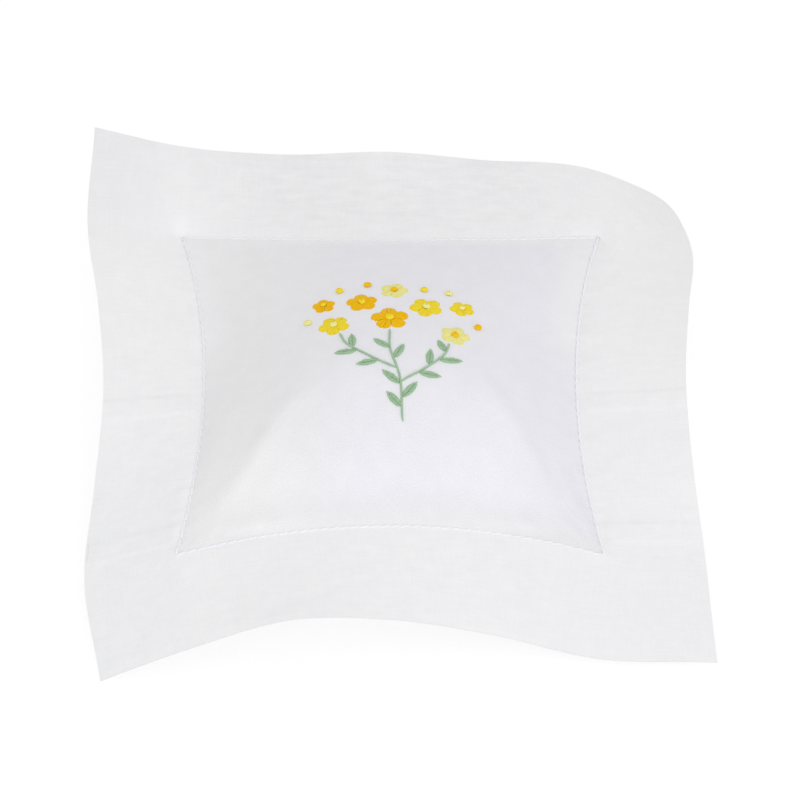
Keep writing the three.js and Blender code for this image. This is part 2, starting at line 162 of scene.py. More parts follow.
# Creases. In millimetres, a strip has a height, its distance from the seam, a width, and where
# along the seam it starts, is full, fades and ends, and a hip has its two ends, a height and a
# width. A fold has its share of the scale, and its direction and width in degrees.
NEAR_ROLL = (-1.3, 9, 5.4, (-48, -26, 24, 46))
FAR_STRIP = (-0.22, 2.4, 1.4, (-32, -16, 24, 44))
SEAM_DENT = (-0.3, 1.9, 1.1, (-50, -46, -38, -30))
HIPS = (((-46.5, -47), (-20, -12), 0.7, 3.5), ((46, -48.5), (23, -8.5), 0.95, 3.3))
HIP_RUN = (0.02, 0.3, 0.6, 1)
HOLLOW_DEPTH = 0.45
HOLLOW_OFF = 2.3
HOLLOW_WIDTH = 1.5
FOLDS = ((0.5, 70, 6), (-0.5, 83, 5), (0.3, 34, 8), (-0.25, 50, 7))
FOLD_SCALE = 0.75 * MM
FOLD_REACH = (2, 11, 20, 44)
FOLD_EDGE = 1.4 * MM

# Embroidery
SPRIG = 54 * MM
STITCH_HEIGHT = 0.4 * MM
SATIN_PLACES = 9
SATIN_BEND = 0.04
SATIN_LEVELS = (0.75, 1.2)
SATIN_LIFT = 0.8
SATIN_SINK = 0.35
SATIN_HUMP = (0.02, 0.5)
SATIN_TAPER = (0.08, 0.35)
LEAST_THICKNESS = 0.04 * MM
STEM_THICKNESS = 0.6 * MM
STEM_STITCH = 2.6 * MM
STEM_STEP = 1.15 * MM
STEM_SLANT_MM = 0.34
STEM_LIFT = 0.62
STEM_SINK = 0.15
STEM_ROUNDNESS = 0.36
STEM_HUMP = (0.03, 0.6)
STEM_LAST = 0.6
PETALS = 5
PETAL_STITCHES = 13
PETAL_SPREAD = 0.86
PETAL_FOOT_SPREAD = 0.8
PETAL_FOOT = 0.6
PETAL_STITCH_WIDTH = 0.47 * MM
PETAL_LENGTH = 3.5 * MM
PETAL_WIDTH = 3.3 * MM
EYE_RADIUS = 0.9 * MM
EYE_KNOT = 1.3
BUD_RADIUS = 1.15 * MM
KNOT_FINENESS = 16
KNOT_FOOT = 0.3 * MM
KNOT_RISE = 0.4 * MM
KNOT_HEART = 0.6
KNOT_OVERLAP = 0.9
KNOT_MIDDLE = 0.25
KNOT_WINDING = 0.9
KNOT_END = 0.3
KNOT_SIDES = 8
LEAF_LENGTH = 6.4 * MM
LEAF_WIDTH = 2.1 * MM
LEAF_STITCHES = 10
LEAF_STITCH_WIDTH = 0.5 * MM
LEAF_TIP_WIDTH = 0.4 * MM
LEAF_FEET = (0.02, 0.86)
LEAF_STITCH = 0.2
LEAF_SHORTENING = 0.5
LEAF_TIP = 0.985
LEAF_LEAST = 0.08 * MM
LEAF_BOW = 0.05
LEAF_END_STITCH = 0.78
LEAF_SPREAD = math.radians(42)
FLOWER_TURN = math.radians(24)
CLEARANCE = 0.3 * MM
SLIVER = 0.05 * MM

# Fineness
SIM_CELL = 1.65 * MM
FLANGE_SMOOTHING = 260
CURL_REACH = 20 * MM
CURL_SMOOTHING = 40
FINE_CELL = 0.62 * MM
BACK_CELL = 0.9 * MM
RIM_LINE = 0.06 * MM
PROBE = 0.25 * MM
LEAST_HEIGHT = 0.0001 * MM
LEAST_LENGTH = 1e-12
CELL_SLACK = 1e-6
STRAND_SHIFT = 7.3

# Cloth simulation
SIM_SCALE = 10
SIM_FRAMES = 12
SIM_CAP = 6 * MM
FAR_PRESSURE_SHARE = 0.35
FULL_PRESSURE_FROM = 1.3
CLOTH_SETTINGS = {
    "quality": 8,
    "mass": 0.05,
    "tension_stiffness": 40.0,
    "compression_stiffness": 40.0,
    "shear_stiffness": 10.0,
    "bending_stiffness": 0.05,
    "tension_damping": 1,
    "compression_damping": 1,
    "shear_damping": 1,
    "vertex_group_mass": "held",
    "vertex_group_pressure": "pressed",
    "use_pressure": True,
    "uniform_pressure_force": 30.0,
}

# Cloth materials, in pattern millimetres. Noises have a place of their own, their scales across
# and along the cloth, and their detail. Shades are a dark and a light colour.
COTTON_PITCH = 0.34
MUSLIN_PITCH = 0.55
SLUBS = (1.0, 0.18, 1.5, 3.0)
SLUBS_UP = (2.0, 1.5, 0.18, 3.0)
BLOTCHES = (3.0, 0.22, 0.2, 2.0)
PATCHES = (4.0, 0.14, 0.5, 3.0)
GRAIN = (5.0, 3.2, 3.2, 1.0)
MUSLIN_SLUBS = (4.0, 0.2, 1.2, 3.0)
FILLING_NOISE = (5.0, 0.5, 0.5, 3.0)
FIBRES = (6.0, 9.0, 0.7, 2.0)
THREAD_TONE = (7.0, 0.9, 0.35, 2.0)
FILLING_SCALE = 0.55
FIBRE_SHARE = 0.45
TONE_LEVEL = 0.37
STREAK_TONE = 0.9
BLOTCH_TONE = 0.45
THREAD_SHADE = 0.3
GRAIN_TONE = 0.9
PANEL_GRAIN_TONE = 0.6
PATCH_MEAN = 0.55
NEAR_PATCH_SHARE = 0.4
FAR_PATCH_SHARE = 0.85
STREAK_HEIGHT = 1.2
GRAIN_HEIGHT = 1.4
FLANGE_START = (50.8, 51.4)
PATCH_SIDES = (24.0, 58.0)
PATCH_REACH = (48.0, 60.0)
PANEL_SHADES = ((235, 234, 236), (249, 249, 250))
COOL_SHADES = ((235, 234, 240), (250, 249, 255))
BORDER_SHADES = ((241, 241, 243), (253, 253, 254))
PATCH_SHADES = ((236, 236, 238), (250, 250, 251))
MUSLIN_SHADES = ((214, 204, 182), (242, 237, 224))
FILLING_SHADES = ((92, 84, 92), (150, 134, 156))

# Parts of the front whose colour differs: how strongly, and between which places it sets in on
# the way to each side. The cool part tints the panel bluer. The others are painted shading: the
# panel is painted greyer above the near seam, at the right and far away, and lighter at the near
# left; where it lies slack along the far seam and the sides' far halves it is painted lighter;
# the border is painted darker and lighter in places.
COOL_PART = ((1, {"right": (-34, -4), "far": (-53, -42)}),)
# Painted light: lighter where the panel lies slack and flat
SLACK_PAINTED_LIGHT = (
    (1, {"left": (41, 50), "far": (-4, 14)}),
    (0.7, {"right": (41, 47), "far": (-2, 20)}),
    (0.75, {"far": (44.5, 51)}),
    (0.6, {"left": (34, 46), "far": (20, 42)}),
)
# Painted shading on the panel, darker and lighter in places
PANEL_PAINTED_SHADING = (
    (-0.17, {"near": (40, 50)}),
    (-0.17, {"right": (28, 42), "near": (-22, 2)}),
    (-0.12, {"far": (16, 38), "right": (-40, -10)}),
    (-0.1, {"near": (16, 28), "right": (-30, -16), "left": (-24, -8)}),
    (0.13, {"near": (24, 36), "left": (18, 30)}),
)
# Painted shading on the border, darker and lighter in places
BORDER_PAINTED_SHADING = (
    (-0.35, {"right": (-12, 50), "near": (30, 62)}),
    (-0.42, {"left": (40, 70), "far": (30, 62)}),
    (-0.14, {"left": (50, 56), "near": (10, 36)}),
    (0.2, {"right": (50, 60), "far": (-20, 0)}),
    (0.16, {"left": (50, 52), "far": (-8, 10)}),
)

# Threads: a dark and a light colour, roughness, sheen and shine
THREADS = {
    "white_thread": ((249, 247, 254), (255, 254, 255), 0.55, 0.7, 0.5),
    "deep_yellow_thread": ((248, 184, 0), (255, 214, 4), 0.6, 0, 0.15),
    "mid_yellow_thread": ((247, 214, 20), (255, 240, 70), 0.6, 0, 0.15),
    "pale_yellow_thread": ((241, 234, 128), (253, 248, 180), 0.6, 0, 0.15),
    "green_thread": ((128, 172, 131), (198, 223, 189), 0.65, 0, 0.2),
}
YELLOWS = ("deep_yellow_thread", "mid_yellow_thread", "pale_yellow_thread")

# Stage
WHITE = (1, 1, 1, 1)
FLOOR_HALF = 3.0
FLOOR_COLOUR = (0.8, 0.8, 0.8, 1)
SEEN_FLOOR_COLOUR = (0.2, 0.2, 0.2, 1)
SEEN_FLOOR_GLOW = 0.86
WORLD_STRENGTH = 0.82
KEY_POWER = 7.4
KEY_SIZE = 1.1
KEY_PLACE = (0.5, -1.7, 0.8)
KEY_AIM = (0, 0, 0.01)
SENSOR = 36
CAMERA_ELEVATION = math.radians(50)
CAMERA_DISTANCE = 2.4
VIEW_WIDTH = 0.19048
AIM_RIGHT = 2.38 * MM
AIM_UP = -0.83 * MM
AIM_HEIGHT = 10 * MM

OUTWARDS = np.array([[0, 1], [1, 0], [0, -1], [-1, 0]], float)
ALONGS = np.array([[1, 0], [0, -1], [-1, 0], [0, 1]], float)
SIDE_RISES = np.array([FAR_RISE, END_RISE, NEAR_RISE, END_RISE])
CORNERS = np.array([FAR_CORNER, FAR_CORNER, NEAR_CORNER, NEAR_CORNER])

# Where the loose outer edge lies, seen from the seam, as shares of the flange width. Each side
# has six places, clockwise from above, the first at its corner.
EDGE_SHARES = np.array([
    [-0.81, 1.08, 0.30], [-0.60, 1.01, 0.12], [-0.31, 0.99, 0.05],
    [-0.01, 0.98, 0.10], [0.24, 1.00, -0.04], [0.49, 0.98, -0.12],
    [0.69, 0.73, -0.31], [0.98, 0.41, -0.07], [1.00, 0.20, 0.09],
    [0.98, -0.07, 0.15], [1.00, -0.34, 0.06], [1.03, -0.60, -0.17],
    [1.00, -0.91, -0.38], [0.61, -1.00, -0.45], [0.30, -0.93, -0.34],
    [0.07, -0.97, -0.12], [-0.22, -1.00, -0.03], [-0.45, -1.06, -0.20],
    [-0.66, -1.12, -0.38], [-0.94, -0.76, -0.30], [-0.94, -0.42, -0.16],
    [-0.90, -0.10, 0.03], [-0.94, 0.26, 0.08], [-0.98, 0.62, 0.16],
])
PLACES = len(EDGE_SHARES) // 4

# Each side's row of places, carried on by one more place in line at both of its ends
EDGE_ROWS = np.stack([np.roll(EDGE_SHARES, -side * PLACES, axis=0)[:PLACES + 1] for side in range(4)])
ROW_ENDS = [2 * EDGE_ROWS[:, end] - EDGE_ROWS[:, inner] for end, inner in ((0, 1), (-1, -2))]
EDGE_ROWS = np.concatenate([ROW_ENDS[0][:, None], EDGE_ROWS, ROW_ENDS[1][:, None]], axis=1)


# Sums and steps

def mix(low, high, share):
    return low + (high - low) * share


def smooth_step(value, start, end):
    share = np.clip((value - start) / (end - start), 0, 1)
    return share * share * (3 - 2 * share)


def window(value, start, full, fade, end):
    return smooth_step(value, start, full) * (1 - smooth_step(value, fade, end))


def bell(value, middle, width):
    return np.exp(-((value - middle) / width) ** 2)


def hump(share, margin, power):
    return np.sin(np.pi * np.clip(share, margin, 1 - margin)) ** power


def length_of(vectors):
    return np.linalg.norm(vectors, axis=-1, keepdims=True)


def unit(vectors):
    return vectors / np.maximum(length_of(vectors), LEAST_LENGTH)


def left_of(run):
    return np.stack([-run[..., 1], run[..., 0]], -1)


def direction(angle):
    return np.stack([np.cos(angle), np.sin(angle)], -1)


def running_length(points):
    steps = np.linalg.norm(np.diff(points, axis=-2), axis=-1).cumsum(-1)
    return np.concatenate([np.zeros_like(steps[..., :1]), steps], -1)


def hermite(start, end, leave, arrive, share):
    cubic = 2 * start - 2 * end + leave + arrive
    square = 3 * end - 3 * start - 2 * leave - arrive
    return ((cubic * share + square) * share + leave) * share + start


def spline(before, start, end, after, share):
    return hermite(start, end, (end - before) / 2, (after - start) / 2, share)


def reach_of(x, y):
    return np.maximum(np.abs(x), np.abs(y))


def lattice_noise(x, y, cell, seed):
    lattice = np.random.default_rng(seed).uniform(-1, 1, (NOISE_SIZE, NOISE_SIZE))
    column, row = np.floor(x / cell).astype(int), np.floor(y / cell).astype(int)
    across = smooth_step(x / cell - column, 0, 1)
    down = smooth_step(y / cell - row, 0, 1)

    def at(right, up):
        return lattice[(column + right) % NOISE_SIZE, (row + up) % NOISE_SIZE]

    return mix(mix(at(0, 0), at(1, 0), across), mix(at(0, 1), at(1, 1), across), down)


def layered_noise(x, y, layers):
    return sum(share * lattice_noise(x, y, cell, seed) for share, cell, seed in layers)


# Common form

def edge_run(side, along):
    """From the seam to the loose edge, at a place along a side that runs from -1 to 1."""
    place = (1 + along) / 2 * PLACES
    first = np.clip(np.floor(place).astype(int), 0, PLACES - 1)
    share = (place - first)[..., None]
    return FLANGE * spline(*[EDGE_ROWS[side, first + step] for step in range(4)], share)


def seam_point(side, along):
    bow = 1 - along ** 2
    out = CORNER_HALF - SIDE_DRAW_IN * bow
    flat = OUTWARDS[side] * out[..., None] + ALONGS[side] * (CORNER_HALF * along)[..., None]
    height = mix(CORNERS[side], CORNERS[(side + 1) % 4], (1 + along) / 2) + SIDE_RISES[side] * bow
    return np.concatenate([flat, height[..., None]], -1)


def flange_point(x, y):
    side = np.where(np.abs(y) >= np.abs(x), np.where(y > 0, 0, 2), np.where(x > 0, 1, 3))
    reach = np.maximum(reach_of(x, y), PROBE)
    along = (x * ALONGS[side][..., 0] + y * ALONGS[side][..., 1]) / reach
    out = (reach - SEAM_HALF) / FLANGE
    run = edge_run(side, along)
    chord = np.linalg.norm(run, axis=-1)
    spare = np.maximum(0, FLANGE * np.hypot(1, along) / chord - 1)
    point = seam_point(side, along) + run * out[..., None]
    point[..., 2] += chord * np.sqrt(spare / 3) * ARCH_SCALE * out ** 2 * (1 - out)
    return point


def panel_point(x, y):
    a, b = x / SEAM_HALF, y / SEAM_HALF
    bow_x, bow_y, far = 1 - a * a, 1 - b * b, (1 + b) / 2
    height = mix(NEAR_CORNER, FAR_CORNER, far) + bow_x * mix(NEAR_RISE, FAR_RISE, far)
    height = height + END_RISE * bow_y
    half_x, half_y = CORNER_HALF - SIDE_DRAW_IN * bow_y, CORNER_HALF - SIDE_DRAW_IN * bow_x
    return np.stack([a * half_x, b * half_y, height], -1)


def form_point(x, y):
    inside = reach_of(x, y) < SEAM_HALF
    return np.where(inside[..., None], panel_point(x, y), flange_point(x, y))


def fullness(x, y, half, power):
    bows = np.clip(1 - (x / half) ** 2, 0, 1) * np.clip(1 - (y / half) ** 2, 0, 1)
    return bows ** power


def crown(x, y):
    """A dome, peaked nearer the viewer than the middle, cut by a near and a bulging far face."""
    a, b = np.clip([x / SEAM_HALF, y / SEAM_HALF], -1, 1)
    shifted = (b + CROWN_PEAK_SHARE) / (1 + CROWN_PEAK_SHARE * b)
    across = (1 - a * a) ** CROWN_ACROSS_FULLNESS
    dome = CROWN_HEIGHT * across * (1 - shifted * shifted) ** CROWN_ALONG_FULLNESS
    near_face = NEAR_FACE_RISE * (1 + b) ** NEAR_FACE_EASE
    far_face = FAR_FACE_RISE * (1 - b) * (1 + FAR_FACE_BULGE * b)
    limits = [dome, near_face, far_face]
    whole = sum((limit + LEAST_HEIGHT) ** -FACE_SHARPNESS for limit in limits)
    return whole ** (-1 / FACE_SHARPNESS)


def overlap_at(y):
    beyond = np.maximum(np.maximum(y - LOWER_HEM_EDGE, UPPER_HEM_EDGE - y), 0)
    return np.clip(1 - beyond / OVERLAP_RAMP, 0, 1)


# Filled front, from the cloth simulation

def pattern_lines(stops, cell):
    lines = [min(stops)]
    ordered = sorted(set(stops))
    for low, high in zip(ordered, ordered[1:]):
        cells = max(1, math.ceil((high - low) / cell - CELL_SLACK))
        lines += [mix(low, high, step / cells) for step in range(1, cells + 1)]
    return np.array(lines)


def grid_faces(rows, columns):
    index = np.arange(rows * columns).reshape(rows, columns)
    quads = np.stack([index[:-1, :-1], index[:-1, 1:], index[1:, 1:], index[1:, :-1]], -1)
    return quads.reshape(-1, 4)


def front_start(x, y):
    point = relaxed_flange(form_point(x, y), reach_of(x, y))
    point[..., 2] = np.maximum(point[..., 2], LAYER_PITCH * overlap_at(y)) + crown(x, y) + FRONT_RISE
    return point


def relaxed_flange(point, reach):
    """The flange as a smooth sheet between the seam and the loose edge."""
    rounded = round_far_right(point)
    loose = ((reach > SEAM_HALF + PROBE) & (reach < CASE_HALF - PROBE))[..., None]
    for _ in range(FLANGE_SMOOTHING):
        wide = np.pad(rounded, ((1, 1), (1, 1), (0, 0)), mode="edge")
        mean = (wide[2:, 1:-1] + wide[:-2, 1:-1] + wide[1:-1, 2:] + wide[1:-1, :-2]) / 4
        rounded = np.where(loose, mean, rounded)
    return rounded


def round_far_right(point):
    """The far right corner hangs curled, so its tip is rounded off."""
    rounded = point.copy()
    reach = round(CURL_REACH / SIM_CELL)
    ring = np.concatenate([point[-1, -reach:], point[-2:-reach - 1:-1, -1]])
    for _ in range(CURL_SMOOTHING):
        ring[1:-1] = (ring[:-2] + 2 * ring[1:-1] + ring[2:]) / 4
    rounded[-1, -reach:] = ring[:reach]
    rounded[-2:-reach - 1:-1, -1] = ring[reach:]
    return rounded


def add_group(thing, name, weights):
    group = thing.vertex_groups.new(name=name)
    for index in np.nonzero(weights > 0)[0]:
        group.add([int(index)], float(weights[index]), "REPLACE")


def linked(name, data):
    thing = bpy.data.objects.new(name, data)
    bpy.context.scene.collection.objects.link(thing)
    return thing


def cloth_object(start, flat):
    mesh = bpy.data.meshes.new("simulated_cloth")
    faces = grid_faces(*start.shape[:2])
    mesh.from_pydata((start * SIM_SCALE).reshape(-1, 3).tolist(), [], faces.tolist())
    thing = linked("simulated_cloth", mesh)
    thing.shape_key_add(name="Basis")
    rest = thing.shape_key_add(name="Flat")
    rest.data.foreach_set("co", (flat * SIM_SCALE).ravel())
    return thing, rest


def set_cloth(thing, rest):
    modifier = thing.modifiers.new("Cloth", "CLOTH")
    for name, value in CLOTH_SETTINGS.items():
        setattr(modifier.settings, name, value)
    modifier.settings.rest_shape_key = rest
    modifier.settings.effector_weights.gravity = 0
    modifier.collision_settings.use_collision = False
    modifier.point_cache.frame_start = 1
    modifier.point_cache.frame_end = SIM_FRAMES


def filled_front():
    x, y = np.meshgrid(SIM_LINES, SIM_LINES)
    start = front_start(x, y)
    reach = reach_of(x, y)
    thing, rest = cloth_object(start, np.stack([x, y, 0 * x], -1))
    held = (np.abs(reach - SEAM_HALF) < PROBE) | (np.abs(reach - CASE_HALF) < PROBE)
    add_group(thing, "held", held.ravel().astype(float))
    near = np.clip((1 - y / SEAM_HALF) / FULL_PRESSURE_FROM, 0, 1)
    pressed = np.where(reach < SEAM_HALF - PROBE, mix(FAR_PRESSURE_SHARE, 1, near), 0)
    add_group(thing, "pressed", pressed.ravel())
    set_cloth(thing, rest)
    scene = bpy.context.scene
    for step in range(1, SIM_FRAMES + 1):
        scene.frame_set(step)
    done = thing.evaluated_get(bpy.context.evaluated_depsgraph_get()).data
    places = np.empty(start.size)
    done.vertices.foreach_get("co", places)
    bpy.data.objects.remove(thing)
    scene.frame_set(1)
    moved = places.reshape(start.shape) / SIM_SCALE - start
    return start + moved * np.minimum(1, SIM_CAP / np.maximum(length_of(moved), PROBE))


SIM_LINES = pattern_lines([-CASE_HALF, -SEAM_HALF, SEAM_HALF, CASE_HALF], SIM_CELL)
FRONT_GRID = filled_front()
MIDDLE = np.array([*np.mean(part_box("panel_seam_needle_thread"), axis=0)[:2], 0])


def bare_front(x, y):
    """The simulated front at any places of the pattern, by splines through its grid."""
    count = len(SIM_LINES)
    column, row = [np.interp(way, SIM_LINES, np.arange(count)) for way in (x, y)]
    first_column, first_row = [np.clip(np.floor(at).astype(int), 0, count - 2) for at in (column, row)]
    across = (column - first_column)[..., None]
    down = (row - first_row)[..., None]

    def line(shift):
        rows = np.clip(first_row + shift, 0, count - 1)
        columns = [np.clip(first_column + step, 0, count - 1) for step in (-1, 0, 1, 2)]
        return spline(*[FRONT_GRID[rows, column] for column in columns], across)

    return spline(*[line(shift) for shift in (-1, 0, 1, 2)], down)


def raised(surface, x, y, height, up=1):
    """Places at a height over a surface, seen from its upper or under side, and the normals there."""
    across = surface(x + PROBE, y) - surface(x - PROBE, y)
    normal = unit(np.cross(across, surface(x, y + PROBE) - surface(x, y - PROBE))) * up
    return surface(x, y) + normal * height[..., None], normal


# Relief of the cloth

def side_inside(x, y):
    """Fades past the seam's corners, where a side's own row of stitches ends."""
    shorter = np.minimum(np.abs(x), np.abs(y))
    return smooth_step(SEAM_HALF + SIDE_END - shorter, 0, SIDE_END)


def rim_closing(x, y):
    """How far the layers come together at the loose edge, where front and back are joined."""
    return smooth_step(reach_of(x, y), CASE_HALF - RIM_REACH, CASE_HALF)


def sewn_closing(x, y):
    """How far the layers come together at the stitched square, most at its left and right."""
    at_ends = smooth_step(np.abs(x) - np.abs(y), 0, SEWN_TURN)
    closeness = bell(reach_of(x, y), SEAM_HALF, SEWN_WIDTH) * side_inside(x, y)
    return mix(SEWN_FAR_AND_NEAR, SEWN_LEFT_AND_RIGHT, at_ends) * closeness


def puckers(x, y):
    run = np.where(np.abs(y) >= np.abs(x), x, y)
    stitch = np.cos(2 * np.pi * run / STITCH)
    gathers = layered_noise(run, 0 * run, GATHERS)
    off = np.abs(reach_of(x, y) - SEAM_HALF)
    near = np.exp(-off / STITCH_PUCKER_REACH) * side_inside(x, y)
    wide = bell(off, GATHER_OFF, GATHER_WIDTH) * side_inside(x, y)
    off_corner = smooth_step(np.abs(np.abs(x) - np.abs(y)), 0, GATHER_CORNER)
    return (STITCH_PUCKER_MM * stitch * near + GATHER_PUCKER_MM * gathers * wide) * off_corner * MM


def hem_bands(x, y):
    on_flange = smooth_step(reach_of(x, y), SEAM_HALF, SEAM_HALF + HEM_START)
    hems = ((LOWER_HEM_EDGE - HEM_WIDTH, LOWER_HEM_EDGE), (UPPER_HEM_EDGE, UPPER_HEM_EDGE + HEM_WIDTH))
    bands = sum(window(y, near, near + HEM_SLOPE, far - HEM_SLOPE, far) for near, far in hems)
    return HEM_RELIEF * bands * on_flange


def strip(off, run, look):
    """A long shallow hollow, a distance off a seam, over some places along it."""
    height, middle, width, along = look
    reach = window(run, *[place * MM for place in along])
    return height * MM * bell(off, middle * MM, width * MM) * reach


def hip(x, y, start, end, height, width):
    """A soft pinched line on the panel between two places, with a hollow on its outer side."""
    start, end = np.array(start) * MM, np.array(end) * MM
    length = np.linalg.norm(end - start)
    ahead = (end - start) / length
    run = ((x - start[0]) * ahead[0] + (y - start[1]) * ahead[1]) / length
    off = (x - start[0]) * ahead[1] - (y - start[1]) * ahead[0]
    outer = off * np.sign(start[0])
    hollow = HOLLOW_DEPTH * bell(outer, HOLLOW_OFF * width, HOLLOW_WIDTH * width)
    return height * (bell(off, 0, width) - hollow) * window(run, *HIP_RUN)


def corner_folds(x, y):
    """Folds that fan out of the near right corner of the panel."""
    corner_x, corner_y = np.maximum(SEAM_HALF - x, 0), np.maximum(SEAM_HALF + y, 0)
    away = np.hypot(corner_x, corner_y)
    turn = np.degrees(np.arctan2(corner_y, corner_x))
    folds = sum(height * bell(turn, middle, width) for height, middle, width in FOLDS)
    reach = window(away, *[place * MM for place in FOLD_REACH])
    inside = smooth_step(corner_x, 0, FOLD_EDGE) * smooth_step(corner_y, 0, FOLD_EDGE)
    return FOLD_SCALE * folds * reach * inside


def soft_creases(x, y):
    """The filling's roll, the strip at the far seam, the hips, corner folds and a dent."""
    near_roll = strip(y + SEAM_HALF, x, NEAR_ROLL)
    far_strip = strip(SEAM_HALF - y, x, FAR_STRIP)
    hips = sum(hip(x, y, start, end, height * MM, width * MM) for start, end, height, width in HIPS)
    return near_roll + far_strip + hips + corner_folds(x, y) + strip(x - SEAM_HALF, y, SEAM_DENT)


def front_detail(x, y):
    ripple = layered_noise(x, y, RIPPLES)
    return puckers(x, y) + hem_bands(x, y) + soft_creases(x, y) + RIPPLE * ripple


def layer_depth(x, y, layer):
    """How far below the front's middle a layer lies: 0 the front, 1 the upper, 2 the lower back."""
    deepest = 1 + overlap_at(y)
    below = (0 * y, 1 + 0 * y, deepest)[layer]
    sewn = mix(LAYER_PITCH * below, LAYER_PITCH * deepest / 2, sewn_closing(x, y))
    return mix(sewn, RIM_DROP + TOUCHING * below, rim_closing(x, y))


def front_point(x, y):
    return raised(bare_front, x, y, front_detail(x, y) - layer_depth(x, y, 0))[0]


def belly_point(x, y, layer):
    point = panel_point(x, y)
    share = fullness(x, y, SEAM_HALF, BELLY_FULLNESS)
    drop = BELLY_DEPTH * share + LAYER_PITCH * overlap_at(y) * (1 - share)
    low = point[..., 2] - drop
    low = (low + np.sqrt(low ** 2 + FLOOR_SOFTNESS ** 2)) / 2
    ripple = BELLY_RIPPLE * lattice_noise(x, y, BELLY_RIPPLE_CELL, 21)
    low = low + ripple * smooth_step(low, FLAT_ON_FLOOR, CLEAR_OF_FLOOR)
    point[..., 2] = low + BACK_RISE + (LAYER_PITCH * overlap_at(y) if layer == 1 else 0)
    return point


def back_point(x, y, layer, lift=0.0):
    down = layer_depth(x, y, layer) - hem_bands(x, y) - BACK_PUCKER * puckers(x, y)
    flange, _ = raised(bare_front, x, y, -down)
    inside = 1 - smooth_step(reach_of(x, y), SEAM_HALF - BELLY_EDGE, SEAM_HALF)
    belly = belly_point(*np.clip([x, y], -SEAM_HALF, SEAM_HALF), layer)
    point = mix(flange, belly, inside[..., None])
    point[..., 2] = np.maximum(point[..., 2], CLOTH / 2)
    point[..., 2] += lift
    return point


# Meshes. A shape is its places, its faces and the places' spots on the pattern.

def add_piece(name, shape, node, slot):
    places, faces, flat = shape
    mesh = bpy.data.meshes.new(name)
    mesh.from_pydata((places + MIDDLE).tolist(), [], faces)
    layer = mesh.uv_layers.new(name="Pattern")
    corners = np.empty(len(mesh.loops), int)
    mesh.loops.foreach_get("vertex_index", corners)
    layer.data.foreach_set("uv", flat[corners].ravel())
    mesh.shade_smooth()
    mesh.materials.append(MATERIALS[slot])
    piece = linked(name, mesh)
    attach(piece, "root")
    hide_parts(node)
    return piece


def add_sheet(name, points, flat, node, slot, thickness=CLOTH):
    """A closed sheet round a grid of middle points."""
    rows, columns = points.shape[:2]
    normal = unit(np.cross(np.gradient(points, axis=1), np.gradient(points, axis=0)))
    top = (points + normal * thickness / 2).reshape(-1, 3)
    under = (points - normal * thickness / 2).reshape(-1, 3)
    faces = grid_faces(rows, columns)
    index = np.arange(rows * columns).reshape(rows, columns)
    rim = np.concatenate([index[0, :-1], index[:-1, -1], index[-1, :0:-1], index[:0:-1, 0]])
    ahead = np.roll(rim, -1)
    count = rows * columns
    walls = np.stack([rim, rim + count, ahead + count, ahead], -1)
    every = np.concatenate([faces, faces[:, ::-1] + count, walls]).tolist()
    spots = np.tile(flat.reshape(-1, 2) / MM, (2, 1))
    return add_piece(name, (np.concatenate([top, under]), every, spots), node, slot)


def strands(points, normals, widths, heights, sides=6):
    """Closed tubes with oval sections: points (strand, place, 3), half widths and half heights."""
    ahead = unit(np.gradient(points, axis=1))
    beside = unit(np.cross(ahead, normals))
    above = np.cross(beside, ahead)
    turns = 2 * np.pi * np.arange(sides) / sides
    wide = beside[..., None, :] * (np.cos(turns)[:, None] * widths[..., None, None])
    high = above[..., None, :] * (np.sin(turns)[:, None] * heights[..., None, None])
    ring = points[..., None, :] + wide + high
    count, places = points.shape[:2]
    index = np.arange(count * places * sides).reshape(count, places, sides)
    following = np.roll(index, -1, axis=2)
    quads = np.stack([index[:, :-1], following[:, :-1], following[:, 1:], index[:, 1:]], -1)
    faces = quads.reshape(-1, 4).tolist()
    faces += index[:, 0, ::-1].tolist() + index[:, -1].tolist()
    around = np.broadcast_to(np.arange(sides) / sides, ring.shape[:3])
    shift = STRAND_SHIFT * np.arange(count)[:, None, None]
    run = np.broadcast_to((running_length(points) / MM)[..., None], around.shape)
    return ring.reshape(-1, 3), faces, np.stack([around + shift, run], -1).reshape(-1, 2)


def joined(shapes):
    places, faces, flat, count = [], [], [], 0
    for part_places, part_faces, part_flat in shapes:
        places.append(part_places)
        faces += [[corner + count for corner in face] for face in part_faces]
        flat.append(part_flat)
        count += len(part_places)
    return np.concatenate(places), faces, np.concatenate(flat)


# Materials

def linear(*levels):
    """A colour in sRGB levels up to 255, as linear light."""
    shares = [level / 255 for level in levels]
    light = [share / 12.92 if share <= 0.04045 else ((share + 0.055) / 1.055) ** 2.4 for share in shares]
    return (*light, 1)


